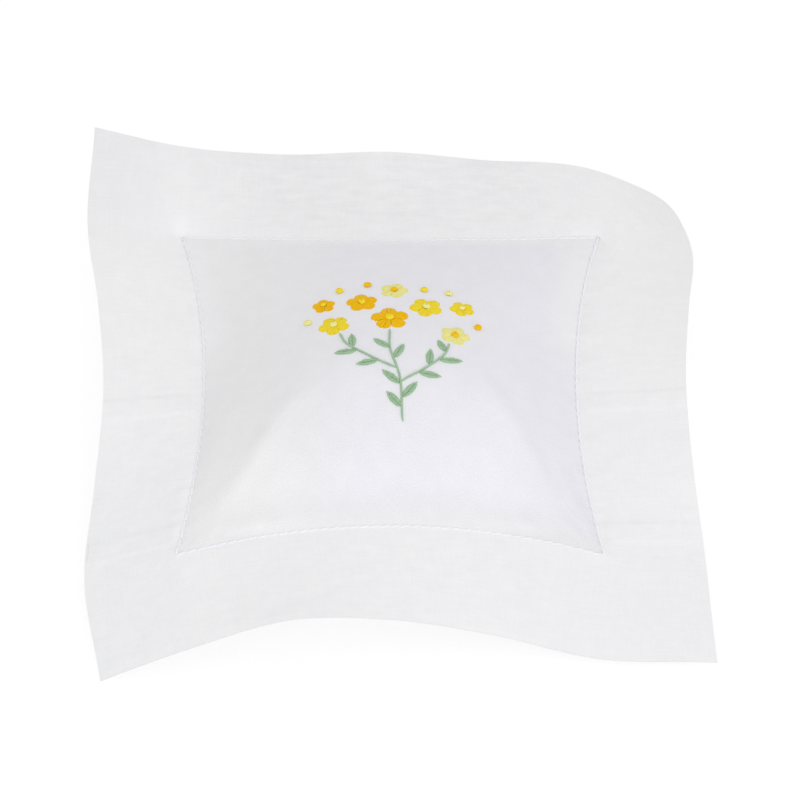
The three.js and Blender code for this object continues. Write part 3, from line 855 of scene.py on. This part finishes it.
class Nodes:
    """The node tree of a material or of the world, written from the surface backwards."""

    def __init__(self, owner):
        owner.use_nodes = True
        self.owner = owner
        self.tree = owner.node_tree

    def put(self, socket, value):
        if isinstance(value, bpy.types.Node):
            value = value.outputs[0]
        if isinstance(value, bpy.types.NodeSocket):
            self.tree.links.new(value, socket)
        else:
            socket.default_value = value

    def put_named(self, node, named):
        for name, value in named.items():
            self.put(node.inputs[name.replace("_", " ")], value)

    def add(self, kind, *values, **named):
        """A new node. The values go to its first inputs in turn, the others to inputs by name."""
        node = self.tree.nodes.new(kind)
        for socket, value in zip(node.inputs, values):
            self.put(socket, value)
        self.put_named(node, named)
        return node

    def math(self, operation, first, second=0.0):
        node = self.add("ShaderNodeMath", first, second)
        node.operation = operation
        return node.outputs[0]

    def chain(self, operation, values):
        result, *others = values
        for value in others:
            result = self.math(operation, result, value)
        return result

    def total(self, *values):
        return self.chain("ADD", values)

    def product(self, *values):
        return self.chain("MULTIPLY", values)

    def largest(self, *values):
        return self.chain("MAXIMUM", values)

    def rest(self, share):
        return self.math("SUBTRACT", 1.0, share)

    def ramp(self, value, start, end):
        node = self.add("ShaderNodeMapRange", value, start, end)
        node.interpolation_type = "SMOOTHSTEP"
        return node.outputs["Result"]

    def blend(self, share, low, high):
        node = self.add("ShaderNodeMix", share)
        node.data_type = "RGBA"
        self.put(node.inputs[6], low)
        self.put(node.inputs[7], high)
        return node.outputs[2]


class PatternNodes(Nodes):
    """A material's nodes, with the ways across and along the flat pattern, in millimetres."""

    def __init__(self, name):
        super().__init__(bpy.data.materials.new(name))
        place = self.add("ShaderNodeUVMap")
        place.uv_map = "Pattern"
        split = self.add("ShaderNodeSeparateXYZ", place)
        self.across = split.outputs[0]
        self.along = split.outputs[1]

    def noise(self, place, scale_across, scale_along, detail):
        across, along = self.product(self.across, scale_across), self.product(self.along, scale_along)
        spot = self.add("ShaderNodeCombineXYZ", across, along, place)
        return self.add("ShaderNodeTexNoise", Vector=spot, Scale=1.0, Detail=detail).outputs[0]

    def weave(self, pitch):
        """Plain weave: each thread is a rounded ridge, over and under in turn."""
        warp = self.math("SINE", self.product(self.across, math.pi / pitch))
        weft = self.math("SINE", self.product(self.along, math.pi / pitch))
        turn = self.math("GREATER_THAN", self.product(warp, weft), 0.0)
        upper = self.product(self.math("ABSOLUTE", warp), turn)
        lower = self.product(self.math("ABSOLUTE", weft), self.rest(turn))
        return self.total(upper, lower)

    def parts(self, table):
        """The strengths of parts of the pattern that set in towards its sides."""
        ways = {
            "right": self.across,
            "left": self.product(self.across, -1.0),
            "far": self.along,
            "near": self.product(self.along, -1.0),
        }
        return [
            self.product(*[self.ramp(ways[way], *reach) for way, reach in reaches.items()], strength)
            for strength, reaches in table
        ]

    def shades(self, share, dark_and_light):
        dark, light = dark_and_light
        return self.blend(share, linear(*dark), linear(*light))

    def finish(self, height, strength, depth, **values):
        bump = self.add("ShaderNodeBump", Strength=strength, Distance=depth, Height=height)
        self.put_named(self.tree.nodes["Principled BSDF"], {"Normal": bump, **values})
        return self.owner


def cotton_material(name):
    nodes = PatternNodes(name)
    sideways = nodes.math("ABSOLUTE", nodes.across)
    upright = nodes.math("ABSOLUTE", nodes.along)
    flange = nodes.ramp(nodes.largest(sideways, upright), *FLANGE_START)
    inside = nodes.rest(flange)
    middle = nodes.rest(nodes.ramp(sideways, *PATCH_SIDES))
    far_patch = nodes.product(nodes.ramp(nodes.along, *PATCH_REACH), middle)
    near_patch = nodes.product(nodes.ramp(nodes.product(nodes.along, -1.0), *PATCH_REACH), middle)
    threads = nodes.weave(COTTON_PITCH)
    streaks = nodes.product(nodes.total(nodes.noise(*SLUBS), nodes.noise(*SLUBS_UP)), 0.5)
    grain = nodes.noise(*GRAIN)
    streaky = nodes.product(nodes.total(streaks, -0.5), flange, STREAK_TONE)
    cloudy = nodes.product(nodes.total(nodes.noise(*BLOTCHES), -0.5), BLOTCH_TONE)
    patch_share = nodes.total(far_patch, nodes.product(near_patch, NEAR_PATCH_SHARE))
    patchy = nodes.product(nodes.total(nodes.noise(*PATCHES), -PATCH_MEAN), patch_share)
    grain_share = nodes.total(GRAIN_TONE, nodes.product(inside, PANEL_GRAIN_TONE))
    grainy = nodes.product(nodes.total(grain, -0.5), grain_share)
    fine = nodes.total(nodes.product(threads, THREAD_SHADE), grainy)
    # The panel and the border are painted darker and lighter in places, as painted shading
    panel_painted_shade = nodes.product(inside, nodes.total(*nodes.parts(PANEL_PAINTED_SHADING)))
    # The border's painted shading
    border_painted_shade = nodes.product(flange, nodes.total(*nodes.parts(BORDER_PAINTED_SHADING)))
    # The tone holds the cloth's own streaks, blotches, patches and grain, and the painted shading
    tone = nodes.total(streaky, cloudy, patchy, fine, panel_painted_shade, border_painted_shade, TONE_LEVEL)
    cool = nodes.parts(COOL_PART)[0]
    panel = nodes.blend(cool, nodes.shades(tone, PANEL_SHADES), nodes.shades(tone, COOL_SHADES))
    far_share = nodes.product(far_patch, FAR_PATCH_SHARE)
    border = nodes.blend(far_share, nodes.shades(tone, BORDER_SHADES), nodes.shades(tone, PATCH_SHADES))
    # Where the panel lies slack it takes the border's lighter colour, as painted light
    colour = nodes.blend(nodes.largest(flange, *nodes.parts(SLACK_PAINTED_LIGHT)), panel, border)
    relief = [threads, nodes.product(streaks, STREAK_HEIGHT), nodes.product(grain, GRAIN_HEIGHT)]
    look = {"Roughness": 0.9, "Sheen_Weight": 0.15, "Sheen_Roughness": 0.5}
    return nodes.finish(nodes.total(*relief), strength=0.5, depth=0.03 * MM, Base_Color=colour, **look)


def muslin_material(name):
    nodes = PatternNodes(name)
    threads = nodes.weave(MUSLIN_PITCH)
    slubs = nodes.noise(*MUSLIN_SLUBS)
    colour = nodes.shades(nodes.product(threads, slubs), MUSLIN_SHADES)
    look = {"Base_Color": colour, "Roughness": 0.95, "Sheen_Weight": 0.1}
    return nodes.finish(nodes.total(threads, slubs), strength=0.5, depth=0.08 * MM, **look)


def filling_material(name):
    nodes = PatternNodes(name)
    spot = nodes.add("ShaderNodeCombineXYZ", nodes.across, nodes.along)
    buds = nodes.add("ShaderNodeTexVoronoi", Vector=spot, Scale=FILLING_SCALE)
    colour = nodes.shades(nodes.noise(*FILLING_NOISE), FILLING_SHADES)
    look = {"Base_Color": colour, "Roughness": 1.0}
    return nodes.finish(buds.outputs["Distance"], strength=0.9, depth=0.5 * MM, **look)


def thread_material(name, dark, light, roughness, sheen, shine):
    nodes = PatternNodes(name)
    fibres, tone = nodes.noise(*FIBRES), nodes.noise(*THREAD_TONE)
    share = nodes.total(nodes.product(fibres, FIBRE_SHARE), nodes.product(tone, 1 - FIBRE_SHARE))
    look = {"Roughness": roughness, "Specular_IOR_Level": shine, "Sheen_Weight": sheen}
    look.update({"Base_Color": nodes.shades(share, (dark, light)), "Sheen_Roughness": 0.4})
    return nodes.finish(fibres, strength=0.4, depth=0.05 * MM, **look)


MATERIALS = {
    "white_cotton": cotton_material("white_cotton"),
    "muslin": muslin_material("muslin"),
    "dried_filling": filling_material("dried_filling"),
    **{name: thread_material(name, *look) for name, look in THREADS.items()},
}


# Case

def square_grid(halves, cell):
    """A grid of pattern places with lines at some half widths and no cell wider than given."""
    lines = pattern_lines([side * half for side in (-1, 1) for half in halves], cell)
    return np.meshgrid(lines, lines)


def add_front():
    x, y = square_grid([SEAM_HALF, CASE_HALF - RIM_LINE, CASE_HALF], FINE_CELL)
    return add_sheet("front_cloth", front_point(x, y), np.stack([x, y], -1), "front_cover", "white_cotton")


def hem_profile(far_edge, hem_edge, inward):
    """Places along a back panel, from its loose edge round the fold of its hem: y and lift."""
    inner, turn = hem_edge + inward * HEM_WIDTH, hem_edge + inward * HEM_TURN
    run = pattern_lines([far_edge, inner, turn], BACK_CELL)
    run = run if inward < 0 else run[::-1]
    angles = np.linspace(0, np.pi, HEM_PLACES + 1)[1:]
    fold_y = hem_edge + inward * (HEM_TURN - HEM_TURN * np.sin(angles))
    fold_lift = HEM_TURN * (1 - np.cos(angles))
    back = np.linspace(turn, inner, HEM_PLACES)[1:]
    ys = np.concatenate([run, fold_y, back])
    return ys, np.concatenate([0 * run, fold_lift, 2 * HEM_TURN + 0 * back])


def add_back(name, node, layer, far_edge, hem_edge, inward):
    ys, lifts = hem_profile(far_edge, hem_edge, inward)
    x, y = np.meshgrid(pattern_lines([-BACK_HALF, -SEAM_HALF, SEAM_HALF, BACK_HALF], BACK_CELL), ys)
    points = back_point(x, y, layer, lifts[:, None])
    flat = np.stack([x, y], -1)
    if inward > 0:
        points, flat = points[::-1], flat[::-1]
    return add_sheet(name, points, flat, node, "white_cotton")


# Pouch

def between(x, y, from_front, from_back):
    """A front and a back grid inside the case, at set distances from its front and back cloth."""
    front, back = front_point(x, y), back_point(x, y, 1)
    gap = np.linalg.norm(front - back, axis=-1)
    swell = fullness(x, y, POUCH_SEAM_HALF, POUCH_FULLNESS)
    top_share, under_share = [
        mix(0.5 - POUCH_SEAM_GAP / gap, distance / gap, swell) for distance in (from_front, from_back)
    ]
    return mix(front, back, top_share[..., None]), mix(back, front, under_share[..., None])


def add_pouch():
    x, y = square_grid([POUCH_HALF], POUCH_CELL)
    flat = np.stack([x, y], -1)
    return [
        add_sheet(f"pouch_{side}_cloth", points, flat, f"pouch_{side}", "muslin", MUSLIN)
        for side, points in zip(("front", "back"), between(x, y, *POUCH_GAPS))
    ]


def add_filling():
    x, y = square_grid([FILLING_HALF], FILLING_CELL)
    bumps = np.abs(lattice_noise(x, y, BUMP_CELL, 31)) * BUMP_HEIGHT_MM * MM
    top, under = between(x, y, *[gap + bumps for gap in FILLING_GAPS])
    middle, half = (top + under) / 2, (top - under) / 2
    reach = np.clip(reach_of(x, y) / FILLING_HALF, 0, 1)
    inside = np.sqrt(1 - reach ** FILLING_SQUARENESS)[..., None]
    rows, columns = x.shape
    count = rows * columns
    faces = grid_faces(rows, columns)
    index = np.arange(count).reshape(rows, columns)
    welded = np.arange(2 * count)
    rim = np.concatenate([index[0], index[-1], index[:, 0], index[:, -1]])
    welded[rim + count] = rim
    every = welded[np.concatenate([faces, faces[:, ::-1] + count])]
    used, compact = np.unique(every, return_inverse=True)
    places = np.concatenate([middle + half * inside, middle - half * inside]).reshape(-1, 3)[used]
    flat = np.tile(np.stack([x, y], -1).reshape(-1, 2), (2, 1))[used] / MM
    shape = (places, compact.reshape(every.shape).tolist(), flat)
    return add_piece("filling_lump", shape, "pouch_filling", "dried_filling")


# Stitches

def twisted_stitches(holes, ends, surface, up, radius=PLY_RADIUS, slant=STITCH_SLANT, rise=1.0):
    """Two-ply stitches from each hole to its end, slightly slanted, dipping in at both holes."""
    share = np.linspace(0, 1, STITCH_PLACES)
    run = ends - holes
    length = length_of(run)
    side = left_of(run) / length
    ahead = run[:, None] * mix(STITCH_MARGIN, 1 - STITCH_MARGIN, share)[:, None]
    flat = holes[:, None] + ahead + side[:, None] * (slant * (share - 0.5) * 2)[:, None]
    lift = (STITCH_DIP + (STITCH_STAND + rise) * hump(share, *STITCH_HUMP)) * radius
    centre, normal = raised(surface, flat[..., 0], flat[..., 1], CLOTH / 2 + lift, up)
    centre[..., 2] = np.maximum(centre[..., 2], 2 * radius)
    beside = np.cross(unit(np.gradient(centre, axis=1)), normal)
    turn = 2 * np.pi * (share * length) / PLY_TWIST + np.arange(len(holes))[:, None] * STITCH_TURN
    thick = np.full(turn.shape, radius)
    plies = []
    for ply in (0, np.pi):
        offset = beside * np.cos(turn + ply)[..., None] + normal * np.sin(turn + ply)[..., None]
        middle = centre + offset * radius * PLY_HEIGHT
        plies.append(strands(middle, normal, thick * PLY_WIDTH, thick * PLY_HEIGHT))
    return joined(plies)


def add_stitches(node, shape, slot="white_thread"):
    add_piece(node.removesuffix("_thread") + "_stitches", shape, node, slot)


def add_square_row(node, half, surface, up, slot="white_thread", **looks):
    """Stitches round a square of the pattern, clockwise from the far left corner."""
    count = round(2 * half / STITCH)
    steps = -half + 2 * half * np.arange(count)[:, None] / count
    holes = np.concatenate([out * half + along * steps for out, along in zip(OUTWARDS, ALONGS)])
    add_stitches(node, twisted_stitches(holes, np.roll(holes, -1, axis=0), surface, up, **looks), slot)


def lowest_back(x, y):
    return np.where((y <= LOWER_HEM_EDGE)[..., None], back_point(x, y, 2), back_point(x, y, 1))


def mid_gap(x, y):
    return (front_point(x, y) + back_point(x, y, 1)) / 2


def pouch_top(x, y):
    return between(x, y, *POUCH_GAPS)[0]


def add_hem_stitches(node, layer, y):
    half = EDGE_SEAM_HALF - HEM_SEAM_END
    x = np.linspace(-half, half, round(2 * half / STITCH) + 1)
    holes = np.stack([x, np.full(len(x), y)], -1)
    rows = []
    for up, lift in ((1, HEM_SEAM_LIFT), (-1, 0.0)):
        surface = partial(back_point, layer=layer, lift=lift)
        rows.append(twisted_stitches(holes[:-1], holes[1:], surface, up, HEM_PLY, rise=0.2))
    add_stitches(node, joined(rows))


def add_seams():
    rises = np.repeat(NEEDLE_RISES, SEAM_STITCHES)[:, None]
    inner = {"radius": INNER_PLY}
    add_square_row("panel_seam_needle_thread", SEAM_HALF, front_point, 1, rise=rises)
    add_square_row("panel_seam_bobbin_thread", SEAM_HALF, lowest_back, -1)
    add_square_row("edge_seam_thread", EDGE_SEAM_HALF, mid_gap, 1, slant=INNER_SLANT, rise=-1.5, **inner)
    add_square_row("pouch_seam_thread", POUCH_SEAM_HALF, pouch_top, 1, "muslin", rise=-0.5, **inner)
    add_hem_stitches("upper_hem_thread", 1, UPPER_HEM_EDGE + HEM_WIDTH - HEM_SEAM_INSET)
    add_hem_stitches("lower_hem_thread", 2, LOWER_HEM_EDGE - HEM_WIDTH + HEM_SEAM_INSET)


# Embroidery

def laid(flat, lift):
    """Flat strand places laid on the front cloth, at a height above it."""
    return raised(front_point, flat[..., 0], flat[..., 1], CLOTH / 2 + lift)


def turned(points, angle, origin):
    cos, sin = math.cos(angle), math.sin(angle)
    return points @ np.array([[cos, sin], [-sin, cos]]) + np.array(origin)


def satin(starts, ends, turn, place, width, seed, bow=0.0):
    """Plump flat stitches, turned and set down at a place, slightly different from each other."""
    starts, ends = turned(starts, turn, place), turned(ends, turn, place)
    random = np.random.default_rng(seed)
    share = np.linspace(0, 1, SATIN_PLACES)
    run = ends - starts
    length = length_of(run)
    bends = random.uniform(-SATIN_BEND, SATIN_BEND, (len(starts), 1)) + bow
    aside = (left_of(run) / length)[:, None] * (bends * length * np.sin(np.pi * share))[..., None]
    flat = starts[:, None] + run[:, None] * share[:, None] + aside
    level = random.uniform(*SATIN_LEVELS, (len(starts), 1))
    high = hump(share, *SATIN_HUMP)
    thick = STITCH_HEIGHT * high * level / 2
    centre, normal = laid(flat, (SATIN_LIFT * high * level - SATIN_SINK) * STITCH_HEIGHT)
    wide = np.full((len(starts), 1), width / 2) * hump(share, *SATIN_TAPER)
    return strands(centre, normal, wide, np.maximum(thick, LEAST_THICKNESS))


def flower_reach(size):
    return (PETAL_LENGTH + EYE_RADIUS + CLEARANCE) * size


def petal_strands(x, y, size, turn, seed):
    notch = (PETAL_LENGTH - PETAL_WIDTH / 2) * size
    offset = np.linspace(-PETAL_SPREAD, PETAL_SPREAD, PETAL_STITCHES) * math.pi / PETALS
    outer = flower_reach(size) - notch * (1 - np.sqrt(np.abs(np.cos(PETALS * offset / 2)))) - SLIVER
    parts = []
    for petal in range(PETALS):
        heading = 2 * math.pi * petal / PETALS
        starts = direction(heading + PETAL_FOOT_SPREAD * offset) * PETAL_FOOT * EYE_RADIUS * size
        ends = direction(heading + offset) * outer[:, None]
        parts.append(satin(starts, ends, turn, (x, y), PETAL_STITCH_WIDTH * size, seed * 10 + petal))
    return joined(parts)


def knot_strands(x, y, radius, turns, seed):
    """A cord wound in a spiral from the rim of a knot to its middle."""
    places = KNOT_FINENESS * turns
    share = np.linspace(0, 1, places)
    angle = 2 * math.pi * turns * share + seed
    cord = radius / (turns + KNOT_HEART)
    out = mix(radius - cord * KNOT_OVERLAP, cord * KNOT_MIDDLE, share ** KNOT_WINDING)
    flat = np.array([x, y]) + out[:, None] * direction(angle)
    centre, normal = laid(flat[None], (KNOT_FOOT + KNOT_RISE * share)[None])
    thick = np.full((1, places), cord)
    thick[:, [0, -1]] *= KNOT_END
    return strands(centre, normal, thick, thick * PLY_HEIGHT, KNOT_SIDES)


def leaf_strands(x, y, turn, length, seed):
    order = np.arange(LEAF_STITCHES) / LEAF_STITCHES
    foot = length * mix(*LEAF_FEET, order)
    tip = foot + length * LEAF_STITCH * (1 - LEAF_SHORTENING * order)
    tip = np.minimum(tip, length * LEAF_TIP)
    half_width = np.maximum(2 * (tip / length) * (1 - tip / length) * LEAF_WIDTH, LEAF_LEAST)
    parts = []
    for side in (-1, 1):
        starts = np.stack([foot, -side * SLIVER + 0 * foot], -1)
        ends = np.stack([tip, side * half_width], -1)
        parts.append(satin(starts, ends, turn, (x, y), LEAF_STITCH_WIDTH, seed + side, bow=LEAF_BOW * side))
    start, end = np.array([[length * LEAF_END_STITCH, 0]]), np.array([[length, 0]])
    parts.append(satin(start, end, turn, (x, y), LEAF_TIP_WIDTH, seed))
    return joined(parts)


def stem_curve(through, fineness=400):
    """Centripetal spline through the places."""
    knots = np.array(through) * SPRIG
    knots = np.concatenate([[2 * knots[0] - knots[1]], knots, [2 * knots[-1] - knots[-2]]])
    pieces = []
    for before, start, end, after in zip(knots, knots[1:], knots[2:], knots[3:]):
        steps = (start - before, end - start, after - end)
        first, middle, last = [np.linalg.norm(step) ** 0.5 for step in steps]
        leave = steps[0] / first - (end - before) / (first + middle) + steps[1] / middle
        arrive = steps[1] / middle - (after - start) / (middle + last) + steps[2] / last
        share = np.linspace(0, 1, fineness, endpoint=False)[:, None]
        pieces.append(hermite(start, end, leave * middle, arrive * middle, share))
    return np.concatenate(pieces + [knots[-2:-1]])


def along_curve(points, at):
    """Places on a curve at some lengths along it, and the directions ahead there."""
    run = running_length(points)
    step = run[-1] / 1000
    place, after, before = [
        np.stack([np.interp(where, run, points[:, axis]) for axis in (0, 1)], -1)
        for where in (at, at + step, at - step)
    ]
    return place, unit(after - before)


def stem_strands(points, joint):
    """Stem stitch, in which each stitch starts beside the middle of the last one, like a rope.

    A side stem has a straight piece before its foot, which starts on the stem beside it.
    """
    if joint:
        points = np.concatenate([[points[0] - unit(points[1] - points[0]) * joint], points])
    whole = running_length(points)[-1]
    starts = np.arange(0, whole - STEM_STITCH * STEM_LAST, STEM_STEP)
    share = np.linspace(0, 1, SATIN_PLACES)
    at = np.minimum(starts[:, None] + STEM_STITCH * share, whole)
    place, ahead = along_curve(points, at)
    place = place + left_of(ahead) * ((share - 0.5) * STEM_SLANT_MM * MM)[:, None]
    high = hump(share, *STEM_HUMP)
    lift = np.broadcast_to((STEM_LIFT * high - STEM_SINK) * STEM_THICKNESS, at.shape)
    centre, normal = laid(place, lift)
    thick = np.broadcast_to(STEM_THICKNESS * STEM_ROUNDNESS * high ** 0.5, at.shape)
    return strands(centre, normal, thick, thick)


# The sprig, in shares of its length. Each leaf has its place along the stem, its side and its
# size, each flower its place and its size.
STEMS = [
    {
        "through": [[0.06, -0.52], [0.05, -0.30], [0.00, -0.10], [0.00, 0.04]],
        "flower": 1.15,
        "joint": 0,
        "leaves": [[0.12, -1, 0.85], [0.20, 1, 0.95], [0.33, -1, 1.0], [0.62, 1, 0.95], [0.76, -1, 0.85]],
    },
    {
        "through": [[0.01, -0.23], [-0.10, -0.16], [-0.22, -0.05], [-0.25, 0.03]],
        "flower": 0.95,
        "joint": 1.0 * MM,
        "leaves": [[0.22, -1, 0.9], [0.56, -1, 0.95], [0.66, 1, 0.85]],
    },
    {
        "through": [[0.085, -0.30], [0.17, -0.24], [0.27, -0.13], [0.30, -0.04]],
        "flower": 0.9,
        "joint": 1.7 * MM,
        "leaves": [[0.2, 1, 0.95], [0.42, -1, 0.95], [0.6, 1, 1.0], [0.82, -1, 0.75]],
    },
]
FLOWERS = [[-0.14, 0.30, 0.95], [0.18, 0.26, 1.0], [0.02, 0.41, 0.85], [-0.33, 0.30, 0.7], [0.36, 0.28, 0.75]]
BUDS = [[-0.11, 0.46], [0.17, 0.42], [-0.41, 0.17], [0.44, 0.14], [-0.25, 0.42], [0.29, 0.40]]


def add_stem(index, stem):
    """A stem with its leaves. Gives back the place and the size of the flower at its tip."""
    points = stem_curve(stem["through"])
    name = f"stem_{index + 1}"
    add_stitches(name, stem_strands(points, stem["joint"]), "green_thread")
    for order, (along, side, share) in enumerate(stem["leaves"]):
        place, ahead = along_curve(points, along * running_length(points)[-1])
        heading = math.atan2(ahead[1], ahead[0])
        aside = side * (STEM_THICKNESS / 2 + SLIVER)
        x, y = place[0] + aside * math.sin(heading), place[1] - aside * math.cos(heading)
        seed = 100 + 10 * index + order
        leaf = leaf_strands(x, y, heading - side * LEAF_SPREAD, LEAF_LENGTH * share, seed)
        add_stitches(f"{name}_leaf_{order + 1}", leaf, "green_thread")
    reach = flower_reach(stem["flower"]) + CLEARANCE
    return [*(points[-1] + unit(points[-1] - points[-2]) * reach), stem["flower"]]


def add_flower(number, x, y, size):
    petals = petal_strands(x, y, size, FLOWER_TURN * number, number)
    eye = knot_strands(x, y, EYE_KNOT * EYE_RADIUS * size, 2, number)
    add_stitches(f"flower_{number}_petals", petals, YELLOWS[(number - 1) % len(YELLOWS)])
    add_stitches(f"flower_{number}_eye", eye, YELLOWS[number % len(YELLOWS)])


def add_sprig():
    heads = [add_stem(index, stem) for index, stem in enumerate(STEMS)]
    heads += [[x * SPRIG, y * SPRIG, size] for x, y, size in FLOWERS]
    for number, (x, y, size) in enumerate(heads, 1):
        add_flower(number, x, y, size)
    for index, (x, y) in enumerate(BUDS):
        knot = knot_strands(x * SPRIG, y * SPRIG, BUD_RADIUS, 3, index)
        add_stitches(f"bud_{index + 1}", knot, YELLOWS[index % len(YELLOWS)])


# Stage

def seen_share(nodes):
    """1 for what the camera sees, straight or through gloss and glass, and 0 for the light."""
    path = nodes.add("ShaderNodeLightPath")
    rays = ("Is Camera Ray", "Is Glossy Ray", "Is Transmission Ray")
    return nodes.largest(*[path.outputs[ray] for ray in rays])


def floor_material():
    nodes = Nodes(bpy.data.materials.new("pale_floor"))
    nodes.tree.nodes.clear()
    plain = nodes.add("ShaderNodeBsdfDiffuse", FLOOR_COLOUR)
    shadowed = nodes.add("ShaderNodeBsdfDiffuse", SEEN_FLOOR_COLOUR)
    glow = nodes.add("ShaderNodeEmission", WHITE, SEEN_FLOOR_GLOW)
    seen = nodes.add("ShaderNodeAddShader", shadowed, glow)
    nodes.add("ShaderNodeOutputMaterial", nodes.add("ShaderNodeMixShader", seen_share(nodes), plain, seen))
    return nodes.owner


def add_floor():
    mesh = bpy.data.meshes.new("floor")
    corners = [(right * FLOOR_HALF, up * FLOOR_HALF, 0) for right, up in ((-1, -1), (1, -1), (1, 1), (-1, 1))]
    mesh.from_pydata(corners, [], [(0, 1, 2, 3)])
    mesh.materials.append(floor_material())
    linked("floor", mesh)


def set_world():
    world = bpy.data.worlds.new("studio")
    bpy.context.scene.world = world
    nodes = Nodes(world)
    back = nodes.tree.nodes["Background"]
    nodes.put_named(back, {"Color": WHITE, "Strength": WORLD_STRENGTH})
    white = nodes.add("ShaderNodeBackground", WHITE, 1.0)
    pick = nodes.add("ShaderNodeMixShader", seen_share(nodes), back, white)
    nodes.put(nodes.tree.nodes["World Output"].inputs[0], pick)


def aim(thing, place, target):
    thing.location = place
    direction = np.array(target) - np.array(place)
    level = math.hypot(direction[0], direction[1])
    thing.rotation_euler = (math.atan2(level, -direction[2]), 0, math.atan2(-direction[0], direction[1]))


def add_key():
    light = bpy.data.lights.new("key", "AREA")
    light.shape = "DISK"
    light.size = KEY_SIZE
    light.energy = KEY_POWER
    aim(linked("key", light), KEY_PLACE, KEY_AIM)


def add_camera():
    camera = bpy.data.cameras.new("camera")
    camera.sensor_width = SENSOR
    camera.lens = SENSOR * CAMERA_DISTANCE / VIEW_WIDTH
    camera.clip_start = 0.1
    camera.clip_end = 20
    holder = linked("camera", camera)
    cos, sin = math.cos(CAMERA_ELEVATION), math.sin(CAMERA_ELEVATION)
    target = MIDDLE + np.array([AIM_RIGHT, AIM_UP * sin, AIM_HEIGHT + AIM_UP * cos])
    aim(holder, target + CAMERA_DISTANCE * np.array([0, -cos, sin]), target)
    bpy.context.scene.camera = holder


add_camera()
set_world()
add_key()
add_floor()
bpy.context.scene.view_settings.view_transform = "Standard"

front = add_front()
upper = add_back("back_upper_cloth", "back_cover_upper", 1, BACK_HALF, UPPER_HEM_EDGE, 1)
lower = add_back("back_lower_cloth", "back_cover_lower", 2, -BACK_HALF, LOWER_HEM_EDGE, -1)
pouch_front, pouch_back = add_pouch()
filling = add_filling()
add_seams()
add_sprig()
